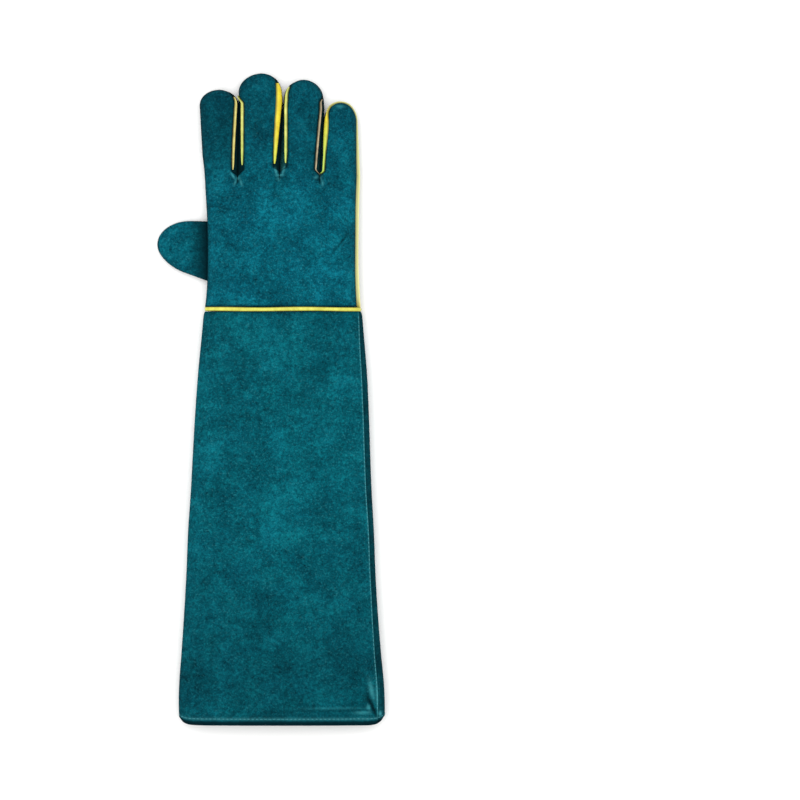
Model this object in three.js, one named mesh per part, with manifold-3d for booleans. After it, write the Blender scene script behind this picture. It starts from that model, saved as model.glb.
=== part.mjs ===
// Long suede handling glove for the right hand, lying palm down with its thumb turned under the
// palm. Millimetres, +Z up, fingers towards +Y, thumb towards -X, cuff mouth towards -Y.
import * as THREE from 'three';
import { mergeVertices } from 'three/addons/utils/BufferGeometryUtils.js';
import Module from 'manifold-3d';

const wasm = await Module();
wasm.setup();

// Hand: width over the knuckles, wrist seam to finger roots, and heights as it lies
const handWidth = 141;
const palmLength = 124;
const handHeight = 29;
const fingerHeight = 23;
const fingerGap = 0.8;
const rootArch = 8;
const rootArchSpread = handWidth * 0.19;

// Fingers: length from the root line to the tip, and the rounded end
const indexLength = 78;
const middleLength = 93;
const ringLength = 88;
const littleLength = 66;
const fingertipLength = 15.5;

// Thumb: flattened width at its root, reach past the edge of the hand, height, centre above the
// wrist, and how deep its root goes inside that edge
const thumbWidth = 56;
const thumbReach = 47;
const thumbHeight = 13;
const thumbPlace = 55;
const thumbRoot = 14;

// Cuff: wrist seam to mouth, with the tube's width and height at both ends
const cuffLength = 382;
const wristWidth = handWidth * 1.02;
const wristHeight = 26;
const mouthWidth = 188;
const mouthHeight = 31;
const mouthCorner = 6;
const hemWidth = 7;
const lapSetback = 5.5;
const lapWidth = 9;
const cuffShift = lapSetback * 0.2;

// Leather and piping
const leather = 1.6;
const foldWidth = 11;
const pipingWidth = 2.6;
const pipingRootWidth = pipingWidth * 0.8;
const broadPipingWidth = 4.4;
const pipingProud = 1.7;
const wristPipingWidth = 3.6;
const wristPipingProud = 1;
const wristPipingEdge = wristPipingProud * 0.3;
const sidePipingWidth = 2.2;
const sidePipingProud = 3.2;
const clearance = 0.3;

// Height of the seam between the side strips and the palm
const lowerSeam = fingerHeight * 0.17;

// Shape of the sections: how square they are, and how much of the underside is pressed flat
const handPower = 3;
const fingerPower = 2.4;
const cuffPower = 2.5;
const thumbPower = 2.8;
const tipPower = 2.05;
const pressedShare = 0.08;
const bluntShare = 0.965;

// Rounded end of a finger: its height, and the share of it that stays where it is narrowest
const tipHeightShare = 0.98;
const tipFullness = 0.3;

// How much flatter the underside of the thumb lies than its upper side
const thumbFlattening = 0.12;

// Where panels end: a strip short of the fingertip and inwards, and the back at the finger roots
const stripEnd = 0.5;
const stripReachShare = 0.4;
const backEnd = 0.965;
const foldPlaces = [0.25, 0.5, 0.76, 0.98];

// How far the cut along a finger's seams reaches out of the leather and into it
const cutBeyond = leather * 1.5;
const cutWithin = leather * 1.8;

// Ends of a bead of piping: where it starts, and how it tapers
const pipingStartShare = 0.55;
const pipingTaperPower = 6;
const pipingTaper = 0.5;
const sidePipingStart = 0.6;

// The lapped edge stays lifted over this share of the overlap, and the mouth's corners turn up
const lapFlatShare = 0.5;
const mouthCornerPower = 6;

// Corners in the rings of the sections
const handCornerCount = 32;
const fingerCornerCount = 16;
const thumbCornerCount = 22;
const wristPipingCornerCount = 36;
const cuffStepCount = 34;

// Sections of the hand: along is a share of the palm length, left and right of half the width,
// height and lift of the hand height, wrist says how far a section follows the wrist's sizes
// instead, and arch how far it follows the arched line of the finger roots
const handSections = [
  { along: 0.00, left: 0.985, right: 0.965, height: 1.00, lift: 0.00, wrist: 1.0, arch: 0.0 },
  { along: 0.09, left: 0.972, right: 0.960, height: 1.00, lift: 0.00, wrist: 0.7, arch: 0.0 },
  { along: 0.24, left: 0.963, right: 0.954, height: 1.02, lift: 0.00, wrist: 0.3, arch: 0.0 },
  { along: 0.42, left: 0.962, right: 0.953, height: 1.04, lift: 0.00, wrist: 0.0, arch: 0.0 },
  { along: 0.60, left: 0.962, right: 0.953, height: 1.02, lift: 0.00, wrist: 0.0, arch: 0.0 },
  { along: 0.76, left: 0.972, right: 0.956, height: 0.95, lift: 0.00, wrist: 0.0, arch: 0.2 },
  { along: 0.88, left: 0.985, right: 0.962, height: 0.84, lift: 0.01, wrist: 0.0, arch: 0.7 },
  { along: 0.94, left: 0.992, right: 0.966, height: 0.74, lift: 0.04, wrist: 0.0, arch: 1.0 },
  { along: 0.98, left: 0.992, right: 0.968, height: 0.56, lift: 0.18, wrist: 0.0, arch: 1.0 },
];

// Fingers: both edges as shares of the hand width, at the root and where the rounded end starts,
// with the rounded end as a share of the fingertip length, and how far it leans to one side.
// Between two fingers the edges lie half a gap from their common border.
const fingers = [
  {
    name: 'index', length: indexLength, tip: 0.88, skew: 0,
    root: [-0.503, -0.288], end: [-0.530, -0.2815],
  },
  {
    name: 'middle', length: middleLength, tip: 1, skew: 0.05,
    root: [-0.288, -0.014], end: [-0.2815, 0.009],
  },
  {
    name: 'ring', length: ringLength, tip: 1.14, skew: 0,
    root: [-0.014, 0.2485], end: [0.009, 0.283],
  },
  {
    name: 'little', length: littleLength, tip: 1.08, skew: -0.1,
    root: [0.2485, 0.486], end: [0.283, 0.482],
  },
];

// Sections of a finger before its rounded end, as shares of its length and of the finger height
const fingerSections = [
  { along: -0.30, height: 0.86 },
  { along: -0.04, height: 0.98 },
  { along: 0.18, height: 0.97 },
  { along: 0.46, height: 1.02 },
  { along: 0.68, height: 0.98 },
];
const tipSteps = [0, 0.45, 0.75, 0.93, 1];

// Sections of the thumb from its root to its tip: width and middle as shares of the thumb width
const thumbSections = [
  { along: 0.000, width: 0.985, middle: -0.015, height: 0.94 },
  { along: 0.220, width: 0.965, middle: -0.009, height: 1.00 },
  { along: 0.400, width: 0.920, middle: 0.012, height: 1.02 },
  { along: 0.560, width: 0.835, middle: 0.045, height: 1.00 },
  { along: 0.700, width: 0.745, middle: 0.070, height: 0.97 },
  { along: 0.830, width: 0.620, middle: 0.080, height: 0.90 },
  { along: 0.930, width: 0.380, middle: 0.085, height: 0.76 },
  { along: 0.985, width: 0.160, middle: 0.090, height: 0.56 },
  { along: 1.000, width: 0.070, middle: 0.090, height: 0.42 },
];

// Sections of the cuff: spread goes from the wrist's width to the mouth's, height likewise varies
const cuffSections = [
  { along: 0.000, spread: 0.03, height: 1.00 },
  { along: 0.040, spread: 0.06, height: 0.96 },
  { along: 0.100, spread: 0.15, height: 1.04 },
  { along: 0.200, spread: 0.27, height: 1.08 },
  { along: 0.320, spread: 0.38, height: 1.04 },
  { along: 0.460, spread: 0.52, height: 1.07 },
  { along: 0.600, spread: 0.64, height: 1.03 },
  { along: 0.730, spread: 0.75, height: 1.06 },
  { along: 0.850, spread: 0.91, height: 1.00 },
  { along: 0.940, spread: 1.00, height: 0.97 },
];

// Dents and soft folds in the upper side, where across is a share of half the hand width, along
// of the palm length, wide and long the same for their spread, and deep of the hand height
const dents = [
  { across: -0.18, along: 0.44, wide: 0.32, long: 0.26, deep: 0.05 },
  { across: 0.58, along: 0.46, wide: 0.12, long: 0.16, deep: 0.07 },
  { across: -0.55, along: 0.80, wide: 0.16, long: 0.10, deep: 0.04 },
  { across: 0.16, along: 0.88, wide: 0.20, long: 0.07, deep: 0.05 },
  { across: 0.35, along: -0.34, wide: 0.35, long: 0.20, deep: 0.06 },
  { across: -0.40, along: -0.85, wide: 0.40, long: 0.30, deep: 0.05 },
  { across: 0.45, along: -1.45, wide: 0.35, long: 0.35, deep: 0.06 },
  { across: -0.30, along: -2.15, wide: 0.45, long: 0.30, deep: 0.05 },
  { across: 1.02, along: -2.84, wide: 0.14, long: 0.24, deep: 0.16 },
];

const suede = new THREE.MeshStandardMaterial({ color: '#0b5f6e', roughness: 0.96 });
const stripSuede = new THREE.MeshStandardMaterial({ color: '#073c46', roughness: 0.96 });
const welt = new THREE.MeshStandardMaterial({ color: '#dcd83f', roughness: 0.6 });

// A length past the whole glove, for cuts that go right through
const far = cuffLength + palmLength + middleLength;

function mix(from, to, share) {
  return from + (to - from) * share;
}

function signedPower(value, power) {
  return Math.sign(value) * Math.pow(Math.abs(value), power);
}

// One column of a table at a place between its rows
function column(rows, name, along) {
  const next = Math.max(1, rows.findIndex((row) => row.along >= along));
  const after = rows.at(along > rows.at(-1).along ? -1 : next);
  const before = rows[rows.indexOf(after) - 1];
  const share = THREE.MathUtils.clamp((along - before.along) / (after.along - before.along), 0, 1);
  return mix(before[name], after[name], share);
}

// How far the upper side is pushed down at a place
function dentAt(x, y) {
  return dents.reduce((sum, dent) => {
    const across = (x / (handWidth / 2) - dent.across) / dent.wide;
    const along = (y / palmLength - dent.along) / dent.long;
    return sum + dent.deep * handHeight * Math.exp(-(across * across + along * along));
  }, 0);
}

// A point of a soft section: a rounded box, dented above and pressed flat below.
// The section grows by grow all round, and its flat underside moves down by below.
function sectionPoint(section, angle, grow, below = grow) {
  const { left, right, low, high, power } = section;
  const halfWidth = Math.max((right - left) / 2 + grow, clearance);
  const halfHeight = Math.max((high - low) / 2 + grow, clearance);
  const across = (left + right) / 2 + halfWidth * signedPower(Math.cos(angle), 2 / power);
  const rise = signedPower(Math.sin(angle), 2 / power);
  const middle = (low + high) / 2;
  const up = middle + halfHeight * rise * (rise < 0 ? 1 + pressedShare : 1);
  return { across, up: Math.max(up, low - below), rise: Math.max(rise, 0) };
}

// A section's ring, with place turning its across, up and along into a point
function sectionRing(section, count, grow, place, below) {
  const ring = [];
  for (let step = 0; step < count; step += 1) {
    const point = sectionPoint(section, (2 * Math.PI * (step + 0.5)) / count, grow, below);
    ring.push(place(point.across, point.up, section.at, point.rise, section.arch));
  }
  return ring;
}

// The line of the finger roots runs in an arch over the knuckles
function archAt(x) {
  return rootArch * Math.exp(-Math.pow(x / rootArchSpread, 2));
}

function alongY(across, up, at, rise, arch = 0) {
  return new THREE.Vector3(across, at + arch * archAt(across), up - dentAt(across, at) * rise);
}

function alongX(across, up, at) {
  return new THREE.Vector3(at, across, up);
}

// Closed mesh from a list of points and of faces, turned inside out if its faces point inwards
function closedGeometry(points, faces) {
  const volume = faces.reduce((sum, [a, b, c]) => {
    return sum + points[a].dot(points[b].clone().cross(points[c]));
  }, 0);
  const order = volume < 0 ? ([a, b, c]) => [a, c, b] : (face) => face;
  const geometry = new THREE.BufferGeometry();
  geometry.setAttribute('position', new THREE.Float32BufferAttribute(
    points.flatMap((point) => point.toArray()), 3));
  geometry.setIndex(faces.flatMap(order));
  return geometry;
}

// Skin through rings of equal count. Its ends are closed over, or joined to each other.
function loft(rings, joinEnds = false) {
  const count = rings[0].length;
  const points = rings.flat();
  const faces = [];
  const bands = joinEnds ? rings.length : rings.length - 1;
  for (let band = 0; band < bands; band += 1) {
    const here = band * count;
    const there = ((band + 1) % rings.length) * count;
    for (let step = 0; step < count; step += 1) {
      const next = (step + 1) % count;
      faces.push([here + step, here + next, there + next]);
      faces.push([here + step, there + next, there + step]);
    }
  }
  if (!joinEnds) {
    closeEnd(points, faces, 0, count, true);
    closeEnd(points, faces, (rings.length - 1) * count, count, false);
  }
  return closedGeometry(points, faces);
}

// Fan over one end ring, from a new point at its middle
function closeEnd(points, faces, start, count, reversed) {
  const middle = new THREE.Vector3();
  for (let step = 0; step < count; step += 1) {
    middle.addScaledVector(points[start + step], 1 / count);
  }
  const hub = points.push(middle) - 1;
  for (let step = 0; step < count; step += 1) {
    const a = start + step;
    const b = start + ((step + 1) % count);
    faces.push(reversed ? [hub, b, a] : [hub, a, b]);
  }
}

// Upright prism over a plan outline
function prism(outline, low, high) {
  const shape = new THREE.Shape(outline.map(([x, y]) => new THREE.Vector2(x, y)));
  const geometry = new THREE.ExtrudeGeometry(shape, { depth: high - low, bevelEnabled: false });
  geometry.translate(0, 0, low);
  return toSolid(geometry);
}

function toSolid(geometry) {
  const bare = geometry.clone();
  bare.deleteAttribute('normal');
  bare.deleteAttribute('uv');
  const merged = mergeVertices(bare);
  return new wasm.Manifold(new wasm.Mesh({
    numProp: 3,
    vertProperties: new Float32Array(merged.attributes.position.array),
    triVerts: new Uint32Array(merged.index.array),
  }));
}

function toGeometry(solid) {
  const mesh = solid.getMesh();
  const geometry = new THREE.BufferGeometry();
  geometry.setAttribute('position', new THREE.BufferAttribute(mesh.vertProperties, 3));
  geometry.setIndex(new THREE.BufferAttribute(mesh.triVerts, 1));
  return geometry;
}

const glove = new THREE.Group();

function addPiece(name, geometry, material) {
  const shaded = geometry.toNonIndexed();
  shaded.computeVertexNormals();
  const mesh = new THREE.Mesh(shaded, material);
  mesh.name = name;
  glove.add(mesh);
}

// Section of the hand at a height above the wrist seam
function handSection(y) {
  const along = y / palmLength;
  const wrist = column(handSections, 'wrist', along);
  const half = mix(handWidth, wristWidth, wrist) / 2;
  return {
    at: y,
    left: -half * column(handSections, 'left', along),
    right: half * column(handSections, 'right', along),
    low: column(handSections, 'lift', along) * handHeight,
    high: mix(handHeight, wristHeight, wrist) * column(handSections, 'height', along),
    arch: column(handSections, 'arch', along),
    power: handPower,
  };
}

function fingerTop(finger) {
  return palmLength + finger.length;
}

function tipLength(finger) {
  return fingertipLength * finger.tip;
}

// Half width left at a share of a finger's rounded end
function tipRounding(share) {
  return Math.pow(1 - Math.pow(share * bluntShare, tipPower), 1 / tipPower);
}

// Both edges of a finger at a place along it. Inside the hand they stay within its outline.
function fingerEdges(finger, y) {
  const start = fingerTop(finger) - tipLength(finger);
  const along = Math.min((y - palmLength) / (start - palmLength), 1);
  const [left, right] = [0, 1].map((side) => {
    const outermost = finger === (side === 0 ? fingers[0] : fingers.at(-1));
    const inset = outermost ? 0 : fingerGap / 2;
    const edge = mix(finger.root[side], finger.end[side], along) * handWidth;
    return edge + (side === 0 ? inset : -inset);
  });
  const hand = handSection(Math.min(y, palmLength));
  const held = y < palmLength ? [hand.left + clearance, hand.right - clearance] : [left, right];
  const edges = [Math.max(left, held[0]), Math.min(right, held[1])];
  const share = THREE.MathUtils.clamp((y - start) / tipLength(finger), 0, 1);
  const half = ((edges[1] - edges[0]) / 2) * tipRounding(share);
  const middle = (edges[0] + edges[1]) / 2 + finger.skew * share * share * half;
  return [middle - half, middle + half];
}

// Sections of a finger from inside the hand to its tip
function fingerRows(finger) {
  const start = fingerTop(finger) - tipLength(finger);
  const straight = fingerSections.map((row) => ({
    y: palmLength + row.along * finger.length,
    height: row.height,
    rounding: 1,
  }));
  const rounded = tipSteps.map((step) => ({
    y: start + step * tipLength(finger),
    height: tipHeightShare,
    rounding: tipRounding(step),
  }));
  return [...straight, ...rounded].map(({ y, height, rounding }) => {
    const [left, right] = fingerEdges(finger, y);
    const high = fingerHeight * height;
    const drop = ((1 - mix(rounding, 1, tipFullness)) * high) / 2;
    return { at: y, left, right, low: drop, high: high - drop, power: fingerPower };
  });
}

function fingerRings(finger, grow) {
  const start = fingerTop(finger) - tipLength(finger);
  return fingerRows(finger).map((row) => {
    const reach = (Math.max(row.at - start, 0) / tipLength(finger)) * grow;
    return sectionRing({ ...row, at: row.at + reach }, fingerCornerCount, grow, alongY);
  });
}

const handStart = wristPipingWidth / 2 + clearance;

function handRings(grow) {
  const inner = handSections.slice(1, -1).map((row) => row.along * palmLength);
  const last = handSections.at(-1).along * palmLength;
  return [handStart, ...inner, last].map((y) => {
    const section = { ...handSection(y), at: y === last ? y + grow : y };
    return sectionRing(section, handCornerCount, grow, alongY);
  });
}

// Whole hand with its fingers. Its rings may start lower than the seam, to open a hollow there.
function handWithFingers(grow, opening) {
  const rings = handRings(grow);
  if (opening > 0) {
    rings.unshift(rings[0].map((point) => point.clone().setY(handStart - opening)));
  }
  const columns = fingers.map((finger) => toSolid(loft(fingerRings(finger, grow))));
  return columns.reduce((solid, finger) => solid.add(finger), toSolid(loft(rings)));
}

// Set-in thumb, turned under the palm and lying flat beside the hand
function thumbSolid(grow, rootReach) {
  const edge = handSection(thumbPlace).left;
  const sections = thumbSections.map((row) => ({
    at: edge + thumbRoot - row.along * (thumbRoot + thumbReach + grow),
    left: thumbPlace + thumbWidth * (row.middle - row.width / 2),
    right: thumbPlace + thumbWidth * (row.middle + row.width / 2),
    low: (thumbHeight * (1 - Math.min(row.height + thumbFlattening, 1))) / 2,
    high: thumbHeight * row.height,
    power: thumbPower,
  }));
  sections[0].at += rootReach;
  const rings = sections.map((section) => sectionRing(section, thumbCornerCount, grow, alongX));
  return toSolid(loft(rings));
}

const hollow = handWithFingers(-leather, leather);
const thumbHole = thumbSolid(clearance, clearance);
const handShell = handWithFingers(0, 0).subtract(hollow).subtract(thumbHole);

// Plan of the strip where the back is folded round the index side, down to the palm seam
function foldOutline(margin) {
  const index = fingers[0];
  const edge = (y) => (y < palmLength ? handSection(y).left : fingerEdges(index, y)[0]);
  const start = fingerTop(index) - tipLength(index);
  const places = [-far, 0, ...foldPlaces.map((share) => share * palmLength), start];
  const outline = places.map((y) => [edge(Math.max(y, 0)) + foldWidth + margin, y]);
  return [[-far, -far], ...outline, [edge(start) + foldWidth + margin, far], [-far, far]];
}

// The seams run along one facet of each section: on the shoulders of the fingers, and at the
// widest place down the outer side of the little finger and of the hand
const shoulders = [5, 1];

function seamFacet(finger, side) {
  return finger === fingers.at(-1) && side === 1 ? fingerCornerCount - 1 : shoulders[side];
}

// Middle of a facet, with its direction down the side of the section and outwards
function facetOf(ring, facet, side) {
  const a = ring[facet];
  const b = ring[(facet + 1) % ring.length];
  const along = b.clone().sub(a).normalize();
  const out = new THREE.Vector3(along.z, 0, -along.x);
  return { place: a.clone().lerp(b, 0.5), down: side === 0 ? along : along.negate(), out };
}

// What lies above the seams of a finger, with both edges moved down by shift
function fingerLid(finger, shift) {
  const sections = fingerRings(finger, 0).map((ring) => {
    const [left, right] = [0, 1].map((side) => facetOf(ring, seamFacet(finger, side), side));
    for (const edge of [left, right]) {
      edge.place.addScaledVector(edge.down, shift);
      edge.outer = edge.place.clone().addScaledVector(edge.out, cutBeyond);
      edge.inner = edge.place.clone().addScaledVector(edge.out, -cutWithin);
      edge.above = edge.outer.clone().setZ(2 * fingerHeight);
    }
    return [right.inner, right.outer, right.above, left.above, left.outer, left.inner];
  });
  sections.push(sections.at(-1).map((point) => point.clone().setY(point.y + tipLength(finger))));
  return toSolid(loft(sections));
}

// What lies above the seam down the outer side of the hand
function handLid(shift) {
  const sections = handRings(0).slice(0, -1).map((ring) => {
    const { place } = facetOf(ring, handCornerCount - 1, 1);
    const low = place.z - shift;
    const corners = [[-far, low], [far, low], [far, far], [-far, far]];
    return corners.map(([x, z]) => new THREE.Vector3(x, place.y, z));
  });
  sections.unshift(sections[0].map((point) => point.clone().setY(-far)));
  sections.push(sections.at(-1).map((point) => point.clone().setY(palmLength * backEnd + shift)));
  return toSolid(loft(sections));
}

// Everything that belongs to the back, grown by shift
function backZone(shift) {
  const lids = fingers.map((finger) => fingerLid(finger, shift));
  const zone = handLid(shift).add(prism(foldOutline(shift), -far, far));
  return lids.reduce((solid, lid) => solid.add(lid), zone);
}

// Plan of the side strips between two fingers, from the crotch to where the tips begin to round
function stripOutline(gap, margin) {
  const inward = (finger, side, y) => {
    const edges = fingerEdges(finger, y);
    const place = mix(edges[side], (edges[0] + edges[1]) / 2, stripReachShare);
    return place + (side === 0 ? margin : -margin);
  };
  const [before, after] = [fingers[gap], fingers[gap + 1]];
  const bottom = palmLength * backEnd - leather - margin;
  const ends = [before, after].map((finger) => {
    return fingerTop(finger) - tipLength(finger) * stripEnd + margin;
  });
  const roots = [[inward(before, 1, palmLength), bottom], [inward(after, 0, palmLength), bottom]];
  const tops = [before, after].map((finger, index) => {
    const straight = fingerTop(finger) - tipLength(finger);
    return [inward(finger, 1 - index, straight), ends[index]];
  });
  const middle = before.end[1] * handWidth;
  return [roots[0], roots[1], tops[1], [middle, ends[1]], [middle, ends[0]], tops[0]];
}

function addHand() {
  const halfGap = clearance / 2;
  addPiece('hand_back', toGeometry(handShell.intersect(backZone(-halfGap))), suede);

  const front = handShell.subtract(backZone(halfGap));
  let palm = front;
  for (let gap = 0; gap < fingers.length - 1; gap += 1) {
    const name = `fourchette_${fingers[gap].name}_${fingers[gap + 1].name}`;
    const strip = prism(stripOutline(gap, 0), lowerSeam + halfGap, far);
    addPiece(name, toGeometry(front.intersect(strip)), stripSuede);
    palm = palm.subtract(prism(stripOutline(gap, clearance), lowerSeam - halfGap, far));
  }
  addPiece('palm', toGeometry(palm), suede);
}

function addThumb() {
  const shell = thumbSolid(0, 0).subtract(thumbSolid(-leather, foldWidth));
  addPiece('thumb', toGeometry(shell.subtract(hollow)), suede);
}

// Bead of piping on the surface. Each stop of the path has a place on the surface, the direction
// down the side that it lies on, a share of the bead's size, and how far it stands out.
function pipingBead(path, width) {
  const profile = [[-0.5, 0], [-0.42, 0.62], [-0.15, 1], [0.15, 1], [0.42, 0.62], [0.5, 0]];
  const rings = path.map(({ place, down, size, broad = 1, proud = pipingProud }, index) => {
    const before = path[Math.max(index - 1, 0)].place;
    const after = path[Math.min(index + 1, path.length - 1)].place;
    const ahead = after.clone().sub(before).normalize();
    const out = ahead.clone().cross(down).normalize();
    const side = out.clone().cross(ahead).normalize();
    return profile.map(([across, up]) => place.clone()
      .addScaledVector(side, across * width * broad * size)
      .addScaledVector(out, clearance + up * proud * size));
  });
  return loft(rings);
}

// Stops up one side of a finger, from just past its root
function fingerStops(finger, side) {
  const facets = fingerRings(finger, 0).map((ring) => facetOf(ring, seamFacet(finger, side), side));
  const [inside, first] = facets.slice(1, 3);
  const start = inside.place.clone().lerp(first.place, pipingStartShare);
  const root = { place: start, down: first.down };
  return [root, ...facets.slice(2)].map((stop) => ({ ...stop, size: 1 }));
}

// Piping of each finger side: how many sections before the end of the tip it stops, and its width
const fingerPipings = [
  { name: 'piping_index', finger: 0, side: 1, before: 3, width: pipingWidth },
  { name: 'piping_middle_left', finger: 1, side: 0, before: 4, width: pipingWidth },
  { name: 'piping_middle_right', finger: 1, side: 1, before: 3, width: broadPipingWidth },
  { name: 'piping_ring_left', finger: 2, side: 0, before: 3, width: pipingWidth },
  { name: 'piping_ring_right', finger: 2, side: 1, before: 4, width: pipingWidth },
];

function addFingerPipings() {
  for (const { name, finger, side, before, width } of fingerPipings) {
    const stops = fingerStops(fingers[finger], side).slice(0, -before);
    stops.forEach((stop, index) => {
      const share = index / (stops.length - 1);
      stop.size = 1 - pipingTaper * Math.pow(Math.abs(2 * share - 1), pipingTaperPower);
      stop.broad = mix(pipingRootWidth, width, share) / width;
    });
    addPiece(name, pipingBead(side === 0 ? stops : stops.reverse(), width), welt);
  }
}

// Piping up the inner side of the little finger, over its tip and down the outer side to the wrist
function addSidePiping() {
  const little = fingers.at(-1);
  const [up, inner] = [0, 1].map((side) => fingerStops(little, side));
  const over = { place: up.at(-1).place.clone().lerp(inner.at(-1).place, 0.5), size: 1 };
  over.down = new THREE.Vector3(0, 0, -1);
  up[0].size = sidePipingStart;
  const finger = inner.slice(1).reverse().map((stop, index, stops) => ({
    ...stop, proud: mix(pipingProud, sidePipingProud, index / stops.length),
  }));
  const hand = handRings(0).slice(0, -1).map((ring) => facetOf(ring, handCornerCount - 1, 1));
  const broad = sidePipingWidth / pipingWidth;
  const side = hand.reverse().map((stop) => ({ ...stop, size: 1, broad, proud: sidePipingProud }));
  addPiece('piping_side', pipingBead([...up, over, ...finger, ...side], pipingWidth), welt);
}

// Ring of piping in the wrist seam, flush with the underside where the glove rests
function addWristPiping() {
  const half = wristPipingWidth / 2;
  const profile = [
    [-half, -leather], [-half, wristPipingEdge], [-half / 2, wristPipingProud],
    [half / 2, wristPipingProud], [half, wristPipingEdge], [half, -leather],
  ];
  const rings = profile.map(([y, grow]) => {
    const section = { ...handSection(0), at: y };
    return sectionRing(section, wristPipingCornerCount, grow, alongY, Math.min(grow, 0));
  });
  addPiece('piping_wrist', loft(rings, true), welt);
}

// Section of the cuff at a distance down from the wrist seam
function cuffSection(depth) {
  const along = depth / cuffLength;
  const half = mix(wristWidth, mouthWidth, column(cuffSections, 'spread', along)) / 2;
  return {
    at: -depth,
    left: cuffShift - half,
    right: cuffShift + half,
    low: 0,
    high: mix(wristHeight, mouthHeight, along) * column(cuffSections, 'height', along),
    power: cuffPower,
  };
}

// The angle at which the upper side of a section lies at a distance in from its right edge
function angleFromEdge(section, distance) {
  const half = (section.right - section.left) / 2;
  return Math.acos(Math.pow((half - distance) / half, section.power / 2));
}

// The cuff is one sheet folded at the thumb side. Its upper edge laps over the lower one, and its
// mouth is turned in for a hem.
function addCuff() {
  const hemTop = cuffLength - hemWidth;
  const depths = cuffSections.map((row) => row.along * cuffLength);
  depths[0] = handStart;
  const stations = depths.map((depth) => ({ depth, turned: 0 }));
  stations.push({ depth: hemTop - clearance, turned: 0 }, { depth: hemTop, turned: 1 });
  stations.push({ depth: cuffLength, turned: 1 });
  const rings = stations.map(({ depth, turned }) => {
    const section = cuffSection(depth);
    const lapStart = angleFromEdge(section, lapSetback);
    const lapEnd = angleFromEdge(section, lapSetback + lapWidth);
    const nearMouth = Math.max(depth - hemTop + hemWidth, 0) / (2 * hemWidth);
    const outer = [];
    const inner = [];
    for (let step = 0; step <= cuffStepCount; step += 1) {
      const angle = mix(lapStart, 2 * Math.PI + lapEnd, step / cuffStepCount);
      const fromLap = THREE.MathUtils.clamp((angle - lapStart) / (2 * (lapEnd - lapStart)), 0, 1);
      const over = 1 - THREE.MathUtils.smoothstep(fromLap, lapFlatShare, 1);
      const lift = (leather + clearance) * over;
      const clearOfLap = fromLap === 1 && angle < 1.5 * Math.PI + lapStart ? turned : 0;
      const atCorner = Math.pow(Math.abs(Math.cos(angle)), mouthCornerPower);
      const corner = mouthCorner * nearMouth * atCorner;
      const skin = sectionPoint(section, angle, 0);
      const lining = sectionPoint(section, angle, -leather * (1 + clearOfLap));
      outer.push(alongY(skin.across, skin.up + lift, -depth + corner, skin.rise));
      inner.push(alongY(lining.across, lining.up + lift, -depth + corner, lining.rise));
    }
    return [...outer, ...inner.reverse()];
  });
  addPiece('cuff', loftSheet(rings), suede);
}

// Skin through rings that hold a sheet's outer side and, back again, its inner side
function loftSheet(rings) {
  const count = rings[0].length;
  const points = rings.flat();
  const faces = [];
  for (let band = 0; band < rings.length - 1; band += 1) {
    for (let step = 0; step < count; step += 1) {
      const [a, b] = [band * count + step, band * count + ((step + 1) % count)];
      faces.push([a, b, b + count], [a, b + count, a + count]);
    }
  }
  for (let step = 0; step < count / 2 - 1; step += 1) {
    const [a, b, c, d] = [step, step + 1, count - 2 - step, count - 1 - step];
    const last = (rings.length - 1) * count;
    faces.push([a, c, b], [a, d, c]);
    faces.push([last + a, last + b, last + c], [last + a, last + c, last + d]);
  }
  return closedGeometry(points, faces);
}

addHand();
addThumb();
addCuff();
addFingerPipings();
addSidePiping();
addWristPiping();

// The origin is the middle of the glove's footprint, on the surface that it lies on
const box = new THREE.Box3().setFromObject(glove);
const centre = box.getCenter(new THREE.Vector3());
glove.position.set(-centre.x, -centre.y, -box.min.z);
glove.updateMatrixWorld(true);

export default glove;
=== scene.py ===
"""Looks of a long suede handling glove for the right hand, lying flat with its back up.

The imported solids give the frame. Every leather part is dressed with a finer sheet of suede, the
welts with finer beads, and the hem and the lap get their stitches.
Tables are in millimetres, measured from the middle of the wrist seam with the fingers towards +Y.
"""
from __future__ import annotations

import logging
import math
from dataclasses import dataclass
from enum import Enum

import bpy
import numpy as np
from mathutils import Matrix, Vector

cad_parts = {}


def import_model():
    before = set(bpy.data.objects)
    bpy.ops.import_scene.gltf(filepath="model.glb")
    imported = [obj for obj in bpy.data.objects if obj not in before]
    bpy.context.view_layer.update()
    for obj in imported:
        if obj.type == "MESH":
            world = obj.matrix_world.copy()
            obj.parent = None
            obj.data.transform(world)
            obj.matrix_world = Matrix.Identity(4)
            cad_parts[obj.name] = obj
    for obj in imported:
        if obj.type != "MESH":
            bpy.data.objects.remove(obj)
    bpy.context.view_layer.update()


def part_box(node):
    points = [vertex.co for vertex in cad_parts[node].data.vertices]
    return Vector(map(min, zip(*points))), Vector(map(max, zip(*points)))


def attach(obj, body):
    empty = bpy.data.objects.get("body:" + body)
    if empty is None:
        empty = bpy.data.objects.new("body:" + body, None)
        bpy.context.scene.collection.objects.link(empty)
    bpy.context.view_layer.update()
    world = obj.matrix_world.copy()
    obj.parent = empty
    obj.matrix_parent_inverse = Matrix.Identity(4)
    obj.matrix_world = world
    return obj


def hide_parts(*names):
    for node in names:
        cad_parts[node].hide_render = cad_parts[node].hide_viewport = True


log = logging.getLogger("glove")

Values = float | np.ndarray

MM = 0.001
TOP, BOTTOM = 1.0, -1.0
# Least turn that keeps a point of the palm off the upper side, in radians
HAIR = 1e-6


def smoothstep(low: float, high: float, value: Values) -> Values:
    """Smooth rise from 0 at low to 1 at high."""
    share = np.clip((np.asarray(value, float) - low) / (high - low), 0, 1)
    return share * share * (3 - 2 * share)


def mix(start: Values, end: Values, share: Values) -> Values:
    """Value at a share of the way from start to end."""
    return start + (end - start) * share


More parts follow.
